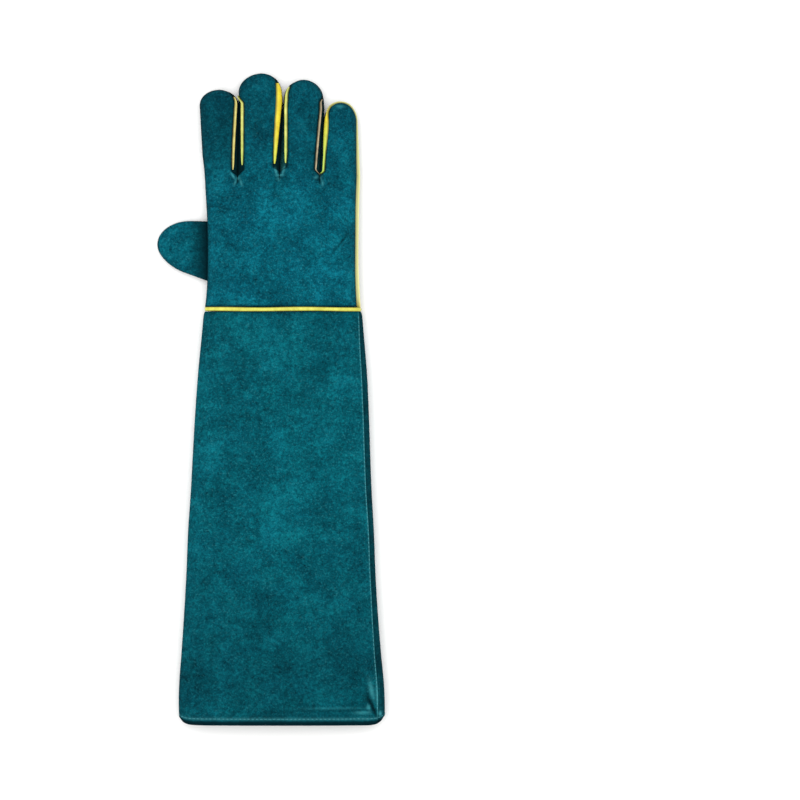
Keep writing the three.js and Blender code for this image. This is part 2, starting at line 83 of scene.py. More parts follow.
def hump(distance: Values, spread: float, power: float = 2) -> Values:
    """Soft hump of height 1 at distance 0, with a flatter top for a higher power."""
    return np.exp(-(np.abs(distance) / spread) ** power)


def unit(vectors: np.ndarray) -> np.ndarray:
    """Vectors along the last axis, scaled to length 1."""
    return vectors / np.maximum(np.linalg.norm(vectors, axis=-1, keepdims=True), 1e-9)


def run_along(path: np.ndarray) -> np.ndarray:
    """Distance of each point of a path from its start."""
    return np.concatenate([[0], np.cumsum(np.linalg.norm(np.diff(path, axis=0), axis=1))])


def through(places: tuple[float, ...], values: tuple[float, ...], at: Values) -> np.ndarray:
    """Smooth curve through a table.

    Args:
        places: rising places of the table's rows.
        values: value of each row.
        at: places to read, a number or an array.

    Returns:
        The values there, held level beyond both ends.
    """
    places, values = np.asarray(places, float), np.asarray(values, float)
    at = np.clip(np.asarray(at, float), places[0], places[-1])
    slopes = np.gradient(values, places)
    row = np.clip(np.searchsorted(places, at, side="right") - 1, 0, len(places) - 2)
    width = places[row + 1] - places[row]
    t = (at - places[row]) / width
    return ((2 * t**3 - 3 * t**2 + 1) * values[row] + (t**3 - 2 * t**2 + t) * width * slopes[row]
            + (3 * t**2 - 2 * t**3) * values[row + 1] + (t**3 - t**2) * width * slopes[row + 1])


def superellipse(angle: Values, power: float) -> tuple[np.ndarray, np.ndarray]:
    """Across and up shares of a rounded box's outline at an angle."""
    cosine, sine = np.cos(angle), np.sin(angle)
    return (np.sign(cosine) * np.abs(cosine) ** (2 / power),
            np.sign(sine) * np.abs(sine) ** (2 / power))


def grid_normals(points: np.ndarray) -> np.ndarray:
    """Unit normals of a grid of points, rows by columns."""
    down, across = np.gradient(points, axis=0), np.gradient(points, axis=1)
    return unit(np.cross(across, down))


def edge_distance(points: np.ndarray) -> tuple[np.ndarray, np.ndarray]:
    """Distances along the rows of a grid.

    Args:
        points: rows by columns by 3.

    Returns:
        The distance of each point from the first and from the last point of its row.
    """
    steps = np.linalg.norm(np.diff(points, axis=1), axis=2)
    first = np.concatenate([np.zeros((len(points), 1)), np.cumsum(steps, axis=1)], axis=1)
    return first, first[:, -1:] - first


def srgb(code: str) -> tuple[float, float, float, float]:
    """Turn a colour to linear.

    Args:
        code: sRGB hex value such as "#0a7080".

    Returns:
        Linear red, green and blue, with an alpha of 1.
    """
    parts = [int(code[i:i + 2], 16) / 255 for i in (1, 3, 5)]
    linear = [c / 12.92 if c <= 0.04045 else ((c + 0.055) / 1.055) ** 2.4 for c in parts]
    return (*linear, 1.0)


def only(piece: bpy.types.Object) -> bpy.types.Object:
    """Make a piece the one selected and active object.

    Args:
        piece: the piece to work on.

    Returns:
        The piece.
    """
    bpy.ops.object.select_all(action="DESELECT")
    piece.select_set(True)
    bpy.context.view_layer.objects.active = piece
    return piece


def apply_modifier(piece: bpy.types.Object, kind: str, **settings: object) -> bpy.types.Object:
    """Add a modifier and apply it.

    Args:
        piece: the piece that it changes.
        kind: type of the modifier.
        settings: properties of the modifier.

    Returns:
        The changed piece.
    """
    only(piece)
    modifier = piece.modifiers.new(kind.title(), kind)
    for name, value in settings.items():
        setattr(modifier, name, value)
    bpy.ops.object.modifier_apply(modifier=modifier.name)
    return piece


def grid_piece(name: str, points: np.ndarray, origin: np.ndarray,
               marks: dict[str, np.ndarray] | None = None) -> bpy.types.Object:
    """A grid primitive whose points are moved onto a shape.

    Args:
        name: name of the new piece.
        points: rows by columns by 3, in millimetres from the wrist.
        origin: middle of the wrist seam in the frame, in metres.
        marks: values per point, kept as attributes that the suede reads.

    Returns:
        The piece, with its faces pointing along across x down.
    """
    rows, columns = points.shape[:2]
    bpy.ops.object.select_all(action="DESELECT")
    bpy.ops.mesh.primitive_grid_add(x_subdivisions=columns - 1, y_subdivisions=rows - 1, size=0.1)
    piece = bpy.context.active_object
    piece.name = piece.data.name = name
    placed = points.reshape(-1, 3) * MM + origin
    piece.data.vertices.foreach_set("co", placed.astype(np.float32).ravel())
    for mark, values in (marks or {}).items():
        attribute = piece.data.attributes.new(mark, "FLOAT", "POINT")
        attribute.data.foreach_set("value", values.astype(np.float32).ravel())
    piece.data.update()
    return piece


def join_pieces(pieces: list[bpy.types.Object], name: str) -> bpy.types.Object:
    """Join pieces into one.

    Args:
        pieces: two or more pieces.
        name: name of the joined piece.

    Returns:
        The joined piece.
    """
    only(pieces[0])
    for piece in pieces:
        piece.select_set(True)
    bpy.ops.object.join()
    joined = bpy.context.active_object
    joined.name = joined.data.name = name
    return joined


def weld(piece: bpy.types.Object, distance: float, outward: bool = False) -> bpy.types.Object:
    """Merge points that lie together.

    Args:
        piece: the piece to mend.
        distance: how close merged points lie, in millimetres.
        outward: whether to turn a closed mesh's faces outwards too.

    Returns:
        The piece.
    """
    only(piece)
    bpy.ops.object.mode_set(mode="EDIT")
    bpy.ops.mesh.select_all(action="SELECT")
    bpy.ops.mesh.remove_doubles(threshold=distance * MM)
    if outward:
        bpy.ops.mesh.normals_make_consistent(inside=False)
    bpy.ops.mesh.select_all(action="DESELECT")
    bpy.ops.object.mode_set(mode="OBJECT")
    return piece


def smooth(piece: bpy.types.Object) -> bpy.types.Object:
    """Shade a piece smooth except at the cut edges of its leather.

    Args:
        piece: the piece to shade.

    Returns:
        The piece.
    """
    only(piece)
    bpy.ops.object.shade_smooth_by_angle(angle=math.radians(50))
    return piece


def bare_material(name: str) -> bpy.types.Material:
    """Make a material without any nodes.

    Args:
        name: name of the material.

    Returns:
        The material.
    """
    material = bpy.data.materials.new(name)
    material.use_nodes = True
    material.node_tree.nodes.clear()
    return material


def add_node(tree: bpy.types.NodeTree, kind: str, inputs: dict | None = None,
             **settings: object) -> bpy.types.Node:
    """Add a shader node.

    Args:
        tree: node tree of the material.
        kind: node type, without its ShaderNode prefix.
        inputs: values or output sockets for the node's inputs, by name or number.
        settings: properties of the node itself.

    Returns:
        The new node.
    """
    node = tree.nodes.new(f"ShaderNode{kind}")
    for name, value in settings.items():
        setattr(node, name, value)
    for name, value in (inputs or {}).items():
        if isinstance(value, bpy.types.NodeSocket):
            tree.links.new(value, node.inputs[name])
        else:
            node.inputs[name].default_value = value
    return node


class Dye(Enum):
    """Shades that the same teal dye takes on different parts. The side strips' shades are darkened as
    painted shade, since they lie deep in the gaps between the fingers.
    """

    HAND = ("#002833", "#024a58", "#0a7080")
    CUFF = ("#002831", "#024853", "#096a75")
    # Painted shade: much darker, for the strips down in the gaps between the fingers
    STRIP = ("#001316", "#0c3234", "#184946")
    THUMB = ("#002732", "#024956", "#096a78")


@dataclass(frozen=True)
class DyedSuede:
    """Split cowhide, dyed through and brushed: a matt nap of short fibres that lies in patches."""

    dye: Dye
    # Blotches where the nap lies another way, mottling, patches that lean to green or to blue,
    # loose fibre ends, and tufts of fibre, in millimetres
    blotch: float = 34.0
    mottle: float = 7.0
    lean: float = 19.0
    speck: float = 1.5
    # Real fibres are about 0.2 mm across. They are drawn coarser, to show in the render.
    tuft: float = 2.4
    fibre: float = 1.0

    def build(self) -> bpy.types.Material:
        """The material, with colour, nap, painted highlights and painted shade from nodes.

        Returns:
            The new material.
        """
        deep, middle, bright = (srgb(code) for code in self.dye.value)
        material = bare_material(f"dyed_suede_{self.dye.name.lower()}")
        tree = material.node_tree
        place = add_node(tree, "TexCoord").outputs["Object"]
        layers = ((self.blotch, 3, 0.55, 0.6), (self.mottle, 3, 0.6, 0.8),
                  (self.tuft, 2, 0.7, 0.5), (self.fibre, 2, 0.65, 0.5))
        noises = [add_node(tree, "TexNoise", {"Vector": place, "Scale": 1 / (size * MM),
                                              "Detail": detail, "Roughness": rough,
                                              "Distortion": twist}).outputs[0]
                  for size, detail, rough, twist in layers]
        total = noises[0]
        for noise, weight in zip(noises[1:], (0.85, 1.15, 0.9)):
            total = add_node(tree, "Math", {0: noise, 1: weight, 2: total},
                             operation="MULTIPLY_ADD").outputs[0]
        spread = add_node(tree, "MapRange", {"Value": total, "From Min": 1.46, "From Max": 2.44})
        shades = add_node(tree, "ValToRGB", {"Fac": spread.outputs[0]})
        ramp = shades.color_ramp
        ramp.elements[0].color, ramp.elements[1].color = deep, bright
        ramp.elements.new(0.5).color = middle
        # Dye takes unevenly, so patches lean to green or to blue
        lean = add_node(tree, "TexNoise", {"Vector": place, "Scale": 1 / (self.lean * MM),
                                           "Detail": 2.0})
        green = add_node(tree, "Mix", {"Factor": lean.outputs[0], 6: srgb("#00ffb8"),
                                       7: srgb("#008cff")}, data_type="RGBA")
        tinted = add_node(tree, "Mix", {"Factor": 0.05, 6: shades.outputs["Color"],
                                        7: green.outputs[2]}, data_type="RGBA", blend_type="OVERLAY")
        # Loose fibre ends catch the light as single specks
        specks = add_node(tree, "TexNoise", {"Vector": place, "Scale": 1 / (self.speck * MM),
                                             "Detail": 0.0})
        bright_specks = add_node(tree, "MapRange", {"Value": specks.outputs[0], "From Min": 0.62,
                                                    "From Max": 0.85, "To Max": 0.2})
        flecked = add_node(tree, "Mix", {"Factor": bright_specks.outputs[0], 6: tinted.outputs[2],
                                         7: srgb("#3d98a0")}, data_type="RGBA")
        # Painted highlights: lighter teal on tucks, ridges and the lapped edge, read from a point attribute
        painted_highlight = add_node(tree, "Attribute", attribute_name="painted_highlight").outputs["Fac"]
        highlighted = add_node(tree, "Mix", {"Factor": painted_highlight, 6: flecked.outputs[2], 7: srgb("#48a4ab")},
                          data_type="RGBA")
        # Painted shade: darker in seams, creases, gaps and on steep sides, read from a point attribute
        shade = add_node(tree, "Attribute", attribute_name="shade").outputs["Fac"]
        shaded = add_node(tree, "Mix", {"Factor": shade, 6: highlighted.outputs[2], 7: srgb("#00161c")},
                          data_type="RGBA")
        nap = add_node(tree, "Math", {0: noises[2], 1: 1.4, 2: noises[3]}, operation="MULTIPLY_ADD")
        bump = add_node(tree, "Bump", {"Height": nap.outputs[0], "Strength": 0.55,
                                       "Distance": 0.35 * MM})
        shader = add_node(tree, "BsdfPrincipled", {
            "Base Color": shaded.outputs[2], "Normal": bump.outputs[0], "Roughness": 0.95,
            "Specular IOR Level": 0.04, "Sheen Weight": 0.02, "Sheen Roughness": 0.6,
            "Sheen Tint": srgb("#2f9aa8")})
        add_node(tree, "OutputMaterial", {"Surface": shader.outputs[0]})
        return material


class WeltDye(Enum):
    """Shades of the welts: lit side and worn or shadowed side."""

    BRIGHT = ("#d6d45b", "#b2ad38")
    STRONG = ("#e8d535", "#c6ab24")
    SOFT = ("#dccf7c", "#b3a355")
    GREENISH = ("#d6d877", "#a5ad4e")
    TAN = ("#b5a585", "#80705c")


@dataclass(frozen=True)
class WeltLeather:
    """Coated split leather strip, folded and sewn in: smooth, a little glossy, with a fine grain."""

    dye: WeltDye
    # Pebbles of the grain and worn patches, in millimetres
    grain: float = 0.8
    patch: float = 6.0

    def build(self) -> bpy.types.Material:
        """The material, with worn patches and a pebbled grain from nodes.

        Returns:
            The new material.
        """
        light, dark = (srgb(code) for code in self.dye.value)
        material = bare_material(f"welt_leather_{self.dye.name.lower()}")
        tree = material.node_tree
        place = add_node(tree, "TexCoord").outputs["Object"]
        patches = add_node(tree, "TexNoise", {"Vector": place, "Scale": 1 / (self.patch * MM),
                                              "Detail": 3.0, "Roughness": 0.6})
        worn = add_node(tree, "MapRange", {"Value": patches.outputs[0], "From Min": 0.35,
                                           "From Max": 0.75})
        colour = add_node(tree, "Mix", {"Factor": worn.outputs[0], 6: light, 7: dark},
                          data_type="RGBA")
        # The long welt is paler on the outer side, and welts are greener at the fingers' roots
        tint = add_node(tree, "Attribute", attribute_name="tint").outputs["Fac"]
        for end, shade_of in ((1.0, "#e9e79a"), (-1.0, "#b4d35a")):
            share = add_node(tree, "MapRange", {"Value": tint, "From Min": 0.0, "From Max": end})
            colour = add_node(tree, "Mix", {"Factor": share.outputs[0], 6: colour.outputs[2],
                                            7: srgb(shade_of)}, data_type="RGBA")
        # Painted shade on the welts' rounded edges, read from a point attribute
        shade = add_node(tree, "Attribute", attribute_name="shade").outputs["Fac"]
        shaded = add_node(tree, "Mix", {"Factor": shade, 6: colour.outputs[2], 7: srgb("#1f330c")},
                          data_type="RGBA")
        pebbles = add_node(tree, "TexVoronoi", {"Vector": place, "Scale": 1 / (self.grain * MM)},
                           feature="SMOOTH_F1")
        bump = add_node(tree, "Bump", {"Height": pebbles.outputs[0], "Strength": 0.3,
                                       "Distance": 0.12 * MM})
        shader = add_node(tree, "BsdfPrincipled", {
            "Base Color": shaded.outputs[2], "Normal": bump.outputs[0], "Roughness": 0.5,
            "Specular IOR Level": 0.35})
        add_node(tree, "OutputMaterial", {"Surface": shader.outputs[0]})
        return material


@dataclass(frozen=True)
class SewingThread:
    """Bonded polyester thread in the dye's own teal, with the twist of its three plies."""

    colour: str = "#2c8c96"
    shadow: str = "#175f6a"
    # Width of a ply in millimetres. A wave texture's bands lie closer than its scale says.
    ply: float = 0.5
    bands: float = 6.0

    def build(self) -> bpy.types.Material:
        """The material, with the plies as bands.

        Returns:
            The new material.
        """
        material = bare_material("sewing_thread")
        tree = material.node_tree
        place = add_node(tree, "TexCoord").outputs["Object"]
        plies = add_node(tree, "TexWave", {"Vector": place, "Scale": 1 / (self.ply * MM) / self.bands,
                                           "Distortion": 0.5}, bands_direction="DIAGONAL")
        colour = add_node(tree, "Mix", {"Factor": plies.outputs[0], 6: srgb(self.shadow),
                                        7: srgb(self.colour)}, data_type="RGBA")
        bump = add_node(tree, "Bump", {"Height": plies.outputs[0], "Strength": 0.4,
                                       "Distance": 0.1 * MM})
        shader = add_node(tree, "BsdfPrincipled", {"Base Color": colour.outputs[2],
                                                   "Normal": bump.outputs[0], "Roughness": 0.6})
        add_node(tree, "OutputMaterial", {"Surface": shader.outputs[0]})
        return material


def dress(piece: bpy.types.Object, material: bpy.types.Material,
          nodes: tuple[str, ...] = ()) -> bpy.types.Object:
    """Give a piece its material, its body and the nodes it stands for.

    Args:
        piece: the finished piece.
        material: its finish.
        nodes: CAD nodes that it replaces.

    Returns:
        The piece.
    """
    piece.data.materials.clear()
    piece.data.materials.append(material)
    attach(piece, "root")
    if nodes:
        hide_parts(*nodes)
    log.info("%s: %d faces", piece.name, len(piece.data.polygons))
    return piece


@dataclass(frozen=True)
class Dent:
    """Soft hollow in the upper side, or soft mark on it, in millimetres."""

    x: float
    y: float
    wide: float
    long: float
    deep: float
    turn: float = 0.0

    def depth(self, x: Values, y: Values) -> Values:
        """How far it pushes the upper side down, or marks it.

        Args:
            x: place across the glove.
            y: place along the glove.

        Returns:
            The depth there.
        """
        angle = math.radians(self.turn)
        across = (x - self.x) * math.cos(angle) + (y - self.y) * math.sin(angle)
        along = (y - self.y) * math.cos(angle) - (x - self.x) * math.sin(angle)
        return self.deep * np.exp(-((across / self.wide) ** 2 + (along / self.long) ** 2))


@dataclass(frozen=True)
class Finger:
    """One finger: length past the palm, and its edges as shares of the hand width.

    tip is the length of its rounded end, stops says how far below the tip the seam of its left and
    of its right side ends, deep how much darker than the hand it is coloured, skew how far its end
    leans to the right, and taper how much of its half width each side loses towards the tip.
    shoulders are the angles, in degrees, at which the left and the right seam lie over the side,
    each at the root and at the tip.
    """

    name: str
    length: float
    root: tuple[float, float]
    end: tuple[float, float]
    tip: float
    stops: tuple[float, float]
    deep: float
    skew: float = 0.0
    taper: tuple[float, float] = (0.0, 0.0)
    shoulders: tuple[tuple[float, float], ...] = ((44.0, 44.0), (44.0, 44.0))


@dataclass(frozen=True)
class Leather:
    """Sizes that all parts share, in millimetres.

    Panels turn down by seam_dip within seam_width of a seam. wrist_half is half the gap in which
    the wrist's welt lies, and wrist_reach how far its shadow reaches.
    """

    thickness: float = 1.6
    seam_dip: float = 1.0
    seam_width: float = 1.3
    wrist_half: float = 2.1
    wrist_reach: float = 1.8
    spacing: float = 1.25


FINGERS = (
    Finger("index", 78, (-0.509, -0.288), (-0.536, -0.2815), 14.4, (0.0, 2.0), 0.52,
           shoulders=((44, 44), (49, 30))),
    Finger("middle", 93, (-0.288, -0.014), (-0.2815, 0.009), 17.6, (22.4, 4.5), 0.29, 0.06,
           (0.0, 0.06), ((44, 37), (47, 30))),
    Finger("ring", 87.2, (-0.014, 0.2485), (0.0072, 0.283), 18.4, (3.0, 16.0), 0.29, 0.0,
           (0.04, 0.08), ((50, 31), (44, 34))),
    Finger("little", 66, (0.2485, 0.488), (0.2727, 0.488), 17.8, (0.0, 0.0), 0.16, 0.05,
           shoulders=((40, 42), (44, 44))),
)

DENTS = (
    Dent(-12.7, 54.6, 22.6, 32.2, 1.5),
    Dent(40.9, 57.0, 8.5, 19.8, 2.0),
    Dent(-38.8, 99.2, 11.3, 12.4, 1.2),
    Dent(11.3, 109.1, 14.1, 8.7, 1.4),
    Dent(24.7, -42.2, 24.7, 24.8, 1.7),
    Dent(-28.2, -105.4, 28.2, 37.2, 1.4),
    Dent(31.7, -179.8, 24.7, 43.4, 1.7),
    Dent(-21.2, -266.6, 31.7, 37.2, 1.4),
    Dent(71.9, -352.2, 9.9, 29.8, 4.6),
    # Fine crease that runs slantwise below the little finger, and shallow waves of the hide
    Dent(55.6, 62.0, 1.6, 12.0, 0.8, -39),
    Dent(53.4, 63.5, 2.6, 12.0, -0.4, -39),
    Dent(-50.0, 30.0, 10.0, 16.0, 0.7, 20),
    Dent(8.0, 20.0, 26.0, 5.0, 0.6, -8),
    Dent(-30.0, -25.0, 30.0, 6.0, 0.6, 10),
    Dent(12.0, -66.0, 20.0, 9.0, 0.5, -20),
)

# Painted shade of the strip after each finger, in the gap between the fingers, at the root and at the top
# of both its sides
STRIP_SHADES = {"index": ((0.85, 1.0), (0.9, 1.0)), "middle": ((0.9, 1.0), (0.0, 0.85)),
                "ring": ((0.5, 0.9), (0.15, 0.6))}

# Painted highlights on the tucks round the roots of the fingers and on the little fingertip, and painted
# shade in the slanting crease
TUCKS = (
    Dent(55.6, 62.0, 1.1, 11.0, -0.8, -39),
    Dent(57.2, 61.0, 1.0, 9.0, 0.06, -39),
    Dent(-44.6, 122.6, 0.9, 3.2, 0.65, 32),
    Dent(-40.2, 120.6, 1.3, 1.7, 0.75),
    Dent(-37.2, 116.4, 0.9, 3.2, 0.45, 18),
    Dent(-42.4, 116.6, 0.9, 3.0, 0.40, -22),
    Dent(-5.2, 127.4, 0.9, 3.0, 0.75, 12),
    Dent(-1.8, 123.3, 2.8, 0.9, 0.80),
    Dent(1.6, 127.6, 0.9, 3.2, 0.70, -10),
    Dent(-2.6, 119.8, 1.2, 1.8, 0.35, 30),
    Dent(31.8, 121.2, 1.8, 1.2, 0.45, 20),
    Dent(35.8, 121.0, 0.9, 3.0, 0.50, 16),
    Dent(37.8, 115.6, 1.1, 2.2, 0.40),
    Dent(53.9, 186.3, 3.6, 1.5, 0.30),
)


@dataclass(frozen=True)
class HandForm:
    """Shape of the hand with its four fingers, from which all its panels are cut."""

    width: float = 141.0
    palm_length: float = 124.0
    wrist_width: float = 143.8
    hand_power: float = 3.0
    finger_power: float = 2.4
    tip_power: float = 2.05
    hand_height: float = 29.0
    wrist_height: float = 26.0
    finger_height: float = 23.0
    tip_fullness: float = 0.3
    pressed: float = 0.08
    # Angles of the index side's lower seam and of the palm's seams below the side, in degrees
    fold_angle: float = 50.0
    lower_angle: float = 40.0
    # Distances past the root line over which the hand turns into the fingers, and over which the
    # arched root line straightens
    turning: tuple[float, float] = (-32.0, 4.0)
    arching: float = 25.0
    # How deep the valleys between the fingers are at the root line, above and below
    valleys: tuple[float, float] = (0.86, 0.72)
    # Height of the pointed crotch of two seams, and how far a seam takes to fade out at its stop
    crotch: float = 7.0
    fading: tuple[float, float] = (-6.0, 5.0)

    def root_line(self, x: Values) -> np.ndarray:
        """Height of the finger roots above the wrist seam, across the hand."""
        return through((-70, -40.5, -2.0, 35.0, 70), (118, 120.9, 124.6, 120.9, 117), x)

    def root_middle(self, finger: Finger) -> float:
        """Height of the root line at the middle of a finger."""
        return float(self.root_line(sum(finger.root) / 2 * self.width))

    def outline(self, y: Values) -> tuple[np.ndarray, ...]:
        """Outline of the hand's section.

        Args:
            y: height above the wrist seam.

        Returns:
            Its left edge, right edge, underside and top.
        """
        share = np.asarray(y, float) / self.palm_length
        places = (0, 0.09, 0.24, 0.42, 0.60, 0.76, 0.88, 1.0)
        wrist = through(places, (1, 0.7, 0.3, 0, 0, 0, 0, 0), share)
        half = mix(self.width, self.wrist_width, wrist) / 2
        left, right, high = (through(places, column, share) for column in (
            (0.985, 0.972, 0.963, 0.964, 0.968, 0.981, 0.995, 1.006),
            (0.965, 0.962, 0.959, 0.962, 0.964, 0.966, 0.972, 0.981),
            (1, 1, 1.02, 1.04, 1.02, 0.95, 0.87, 0.82)))
        top = mix(self.hand_height, self.wrist_height, wrist) * high
        return -half * left, half * right, np.zeros_like(top), top

    def reach(self, finger: Finger) -> float:
        """Length of a finger from the root line at its middle to its tip."""
        return self.palm_length + finger.length - self.root_middle(finger)

    def edges(self, finger: Finger, q: Values) -> tuple[np.ndarray, ...]:
        """Section of a finger. Below the root line it goes on through the hand.

        Args:
            finger: the finger that is meant.
            q: distance past the root line.

        Returns:
            The section's centre, half its width, its underside and its top.
        """
        q = np.asarray(q, float)
        y = self.root_middle(finger) + q
        start = self.reach(finger) - finger.tip
        hand = self.outline(np.minimum(y, self.palm_length))
        share = np.clip(q / start, 0, 1)
        sides = []
        for side, outermost in ((0, FINGERS[0]), (1, FINGERS[-1])):
            line = mix(finger.root[side], finger.end[side], share) * self.width
            out = smoothstep(0, self.arching, q) if finger is outermost else 1
            sides.append(mix(hand[side], line, out))
        near = smoothstep(finger.tip + 10, finger.tip - 4, self.reach(finger) - q)
        half = (sides[1] - sides[0]) / 2
        sides = [sides[0] + finger.taper[0] * near * half, sides[1] - finger.taper[1] * near * half]
        tip = np.clip((q - start) / finger.tip, 0, 1)
        rounding = np.maximum(1 - tip**self.tip_power, 0) ** (1 / self.tip_power)
        half = (sides[1] - sides[0]) / 2
        centre = (sides[0] + sides[1]) / 2 + finger.skew * tip**3 * half
        half = half * rounding
        along = np.clip(q / self.reach(finger), 0, 1)
        high = self.finger_height * through((0, 0.18, 0.46, 0.68, 1), (0.97, 0.97, 1.02, 0.98, 0.98),
                                            along)
        drop = (1 - mix(rounding, 1, self.tip_fullness)) * high / 2
        return centre, half, drop, high - drop

    def seam_share(self, finger: Finger, q: Values, right: bool) -> Values:
        """How far a seam of a finger lies up on its shoulder.

        Args:
            finger: the finger that is meant.
            q: distance past the root line.
            right: whether the seam is the one on the right.

        Returns:
            A share that is 0 at the root and past the seam's stop.
        """
        below = finger.stops[int(right)]
        end = self.reach(finger) - below
        if below:
            stopped = smoothstep(end + self.fading[0], end + self.fading[1], q)
        else:
            stopped = np.clip((q - end) / finger.tip + 1, 0, 1) ** 3
        return smoothstep(0, self.crotch, q) * (1 - stopped)

    def seam_angle(self, finger: Finger, q: Values, right: bool) -> Values:
        """Angle of a finger's upper seam over its side.

        Args:
            finger: the finger that is meant.
            q: distance past the root line.
            right: whether the seam is the one on the right.

        Returns:
            The angle in radians.
        """
        root, tip = finger.shoulders[int(right)]
        along = np.clip(q / self.reach(finger), 0, 1)
        return self.seam_share(finger, q, right) * np.radians(mix(root, tip, along**1.5))

    def place(self, finger: Finger, q: Values, angle: Values) -> np.ndarray:
        """Points of a finger's skin, or of the hand below it.

        Args:
            finger: the finger whose column of the hand is meant.
            q: distance past the root line, below zero inside the hand, broadcast with angle.
            angle: angle in radians round the section, 0 at the right and turning over the top.

        Returns:
            Array of points with the last axis x, y and z, in millimetres.
        """
        q, angle = np.broadcast_arrays(np.asarray(q, float), np.asarray(angle, float))
        centre, half, low, high = self.edges(finger, q)
        across, rise = superellipse(angle, self.finger_power)
        x = centre + half * across
        sign = np.where(np.sin(angle) >= -1e-9, TOP, BOTTOM)
        middle, tall = (low + high) / 2, (high - low) / 2

        root, mean = self.root_line(x), self.root_middle(finger)
        start = Leather.wrist_half
        inside = start + (root - start) * (1 + q / (mean - start))
        y = np.where(q < 0, inside, q + mix(root, mean, smoothstep(0, self.arching, q)))

        left, right, floor, top = self.outline(np.minimum(y, self.palm_length))
        share = np.clip((2 * x - left - right) / (right - left), -1, 1)
        body = np.maximum(1 - np.abs(share) ** self.hand_power, 0) ** (1 / self.hand_power)
        squeeze = np.where(sign < 0, 1 + self.pressed, 1)
        hand_z = (floor + top) / 2 + sign * (top - floor) / 2 * body * squeeze

        outer = ((finger is FINGERS[0]) & (across < 0)) | ((finger is FINGERS[-1]) & (across > 0))
        past = np.where(q < 0, q * self.palm_length / (mean - start), q)
        blend = smoothstep(*self.turning, past)
        web = np.where(sign > 0, *self.valleys)
        valley = web * smoothstep(-8, 0, past) + (1 - web) * smoothstep(0, 8, past)
        crown = middle + sign * tall * squeeze
        finger_z = middle + tall * rise * squeeze
        inner_z = mix(hand_z, crown, blend) - sign * tall * squeeze * (1 - np.abs(rise)) * valley
        z = np.where(outer, mix(hand_z, finger_z, blend), inner_z)
        z = np.where(sign < 0, np.maximum(z, np.where(q < 0, 0, low)), z)
        upward = mix(body, np.clip(rise, 0, 1), smoothstep(-4, 4, past))
        dent = sum(d.depth(x, y) for d in DENTS) * upward * np.where(sign > 0, 1, 0)
        return np.stack([x, y, z - dent], axis=-1)

    def stations(self, finger: Finger) -> tuple[np.ndarray, np.ndarray]:
        """Rows of the panels' grids.

        Args:
            finger: the finger that is meant.

        Returns:
            Distances past the root line of the rows inside the hand, and of those of the finger.
        """
        inside = np.linspace(Leather.wrist_half - self.root_middle(finger), 0, 110)
        start = self.reach(finger) - finger.tip
        straight = np.linspace(0, start, int(start / Leather.spacing))
        tip = start + finger.tip * np.sin(np.linspace(0, math.pi / 2, 22))
        return inside, np.concatenate([straight, tip[1:]])


def seam_dips(points: np.ndarray, amount: np.ndarray, first: bool, last: bool) -> np.ndarray:
    """Turn the edges of a panel down into its seams.

    Args:
        points: grid of points, rows by columns.
        amount: how much of the dip each row gets.
        first: whether the first column is a seam.
        last: whether the last column is one.

    Returns:
        The points, pushed in beside the seams.
    """
    from_first, from_last = edge_distance(points)
    dip = np.zeros(points.shape[:2])
    for wanted, distance in ((first, from_first), (last, from_last)):
        if wanted:
            dip = np.maximum(dip, hump(distance, Leather.seam_width))
    dip = dip * amount[:, None] * Leather.seam_dip
    return points - grid_normals(points) * dip[..., None]


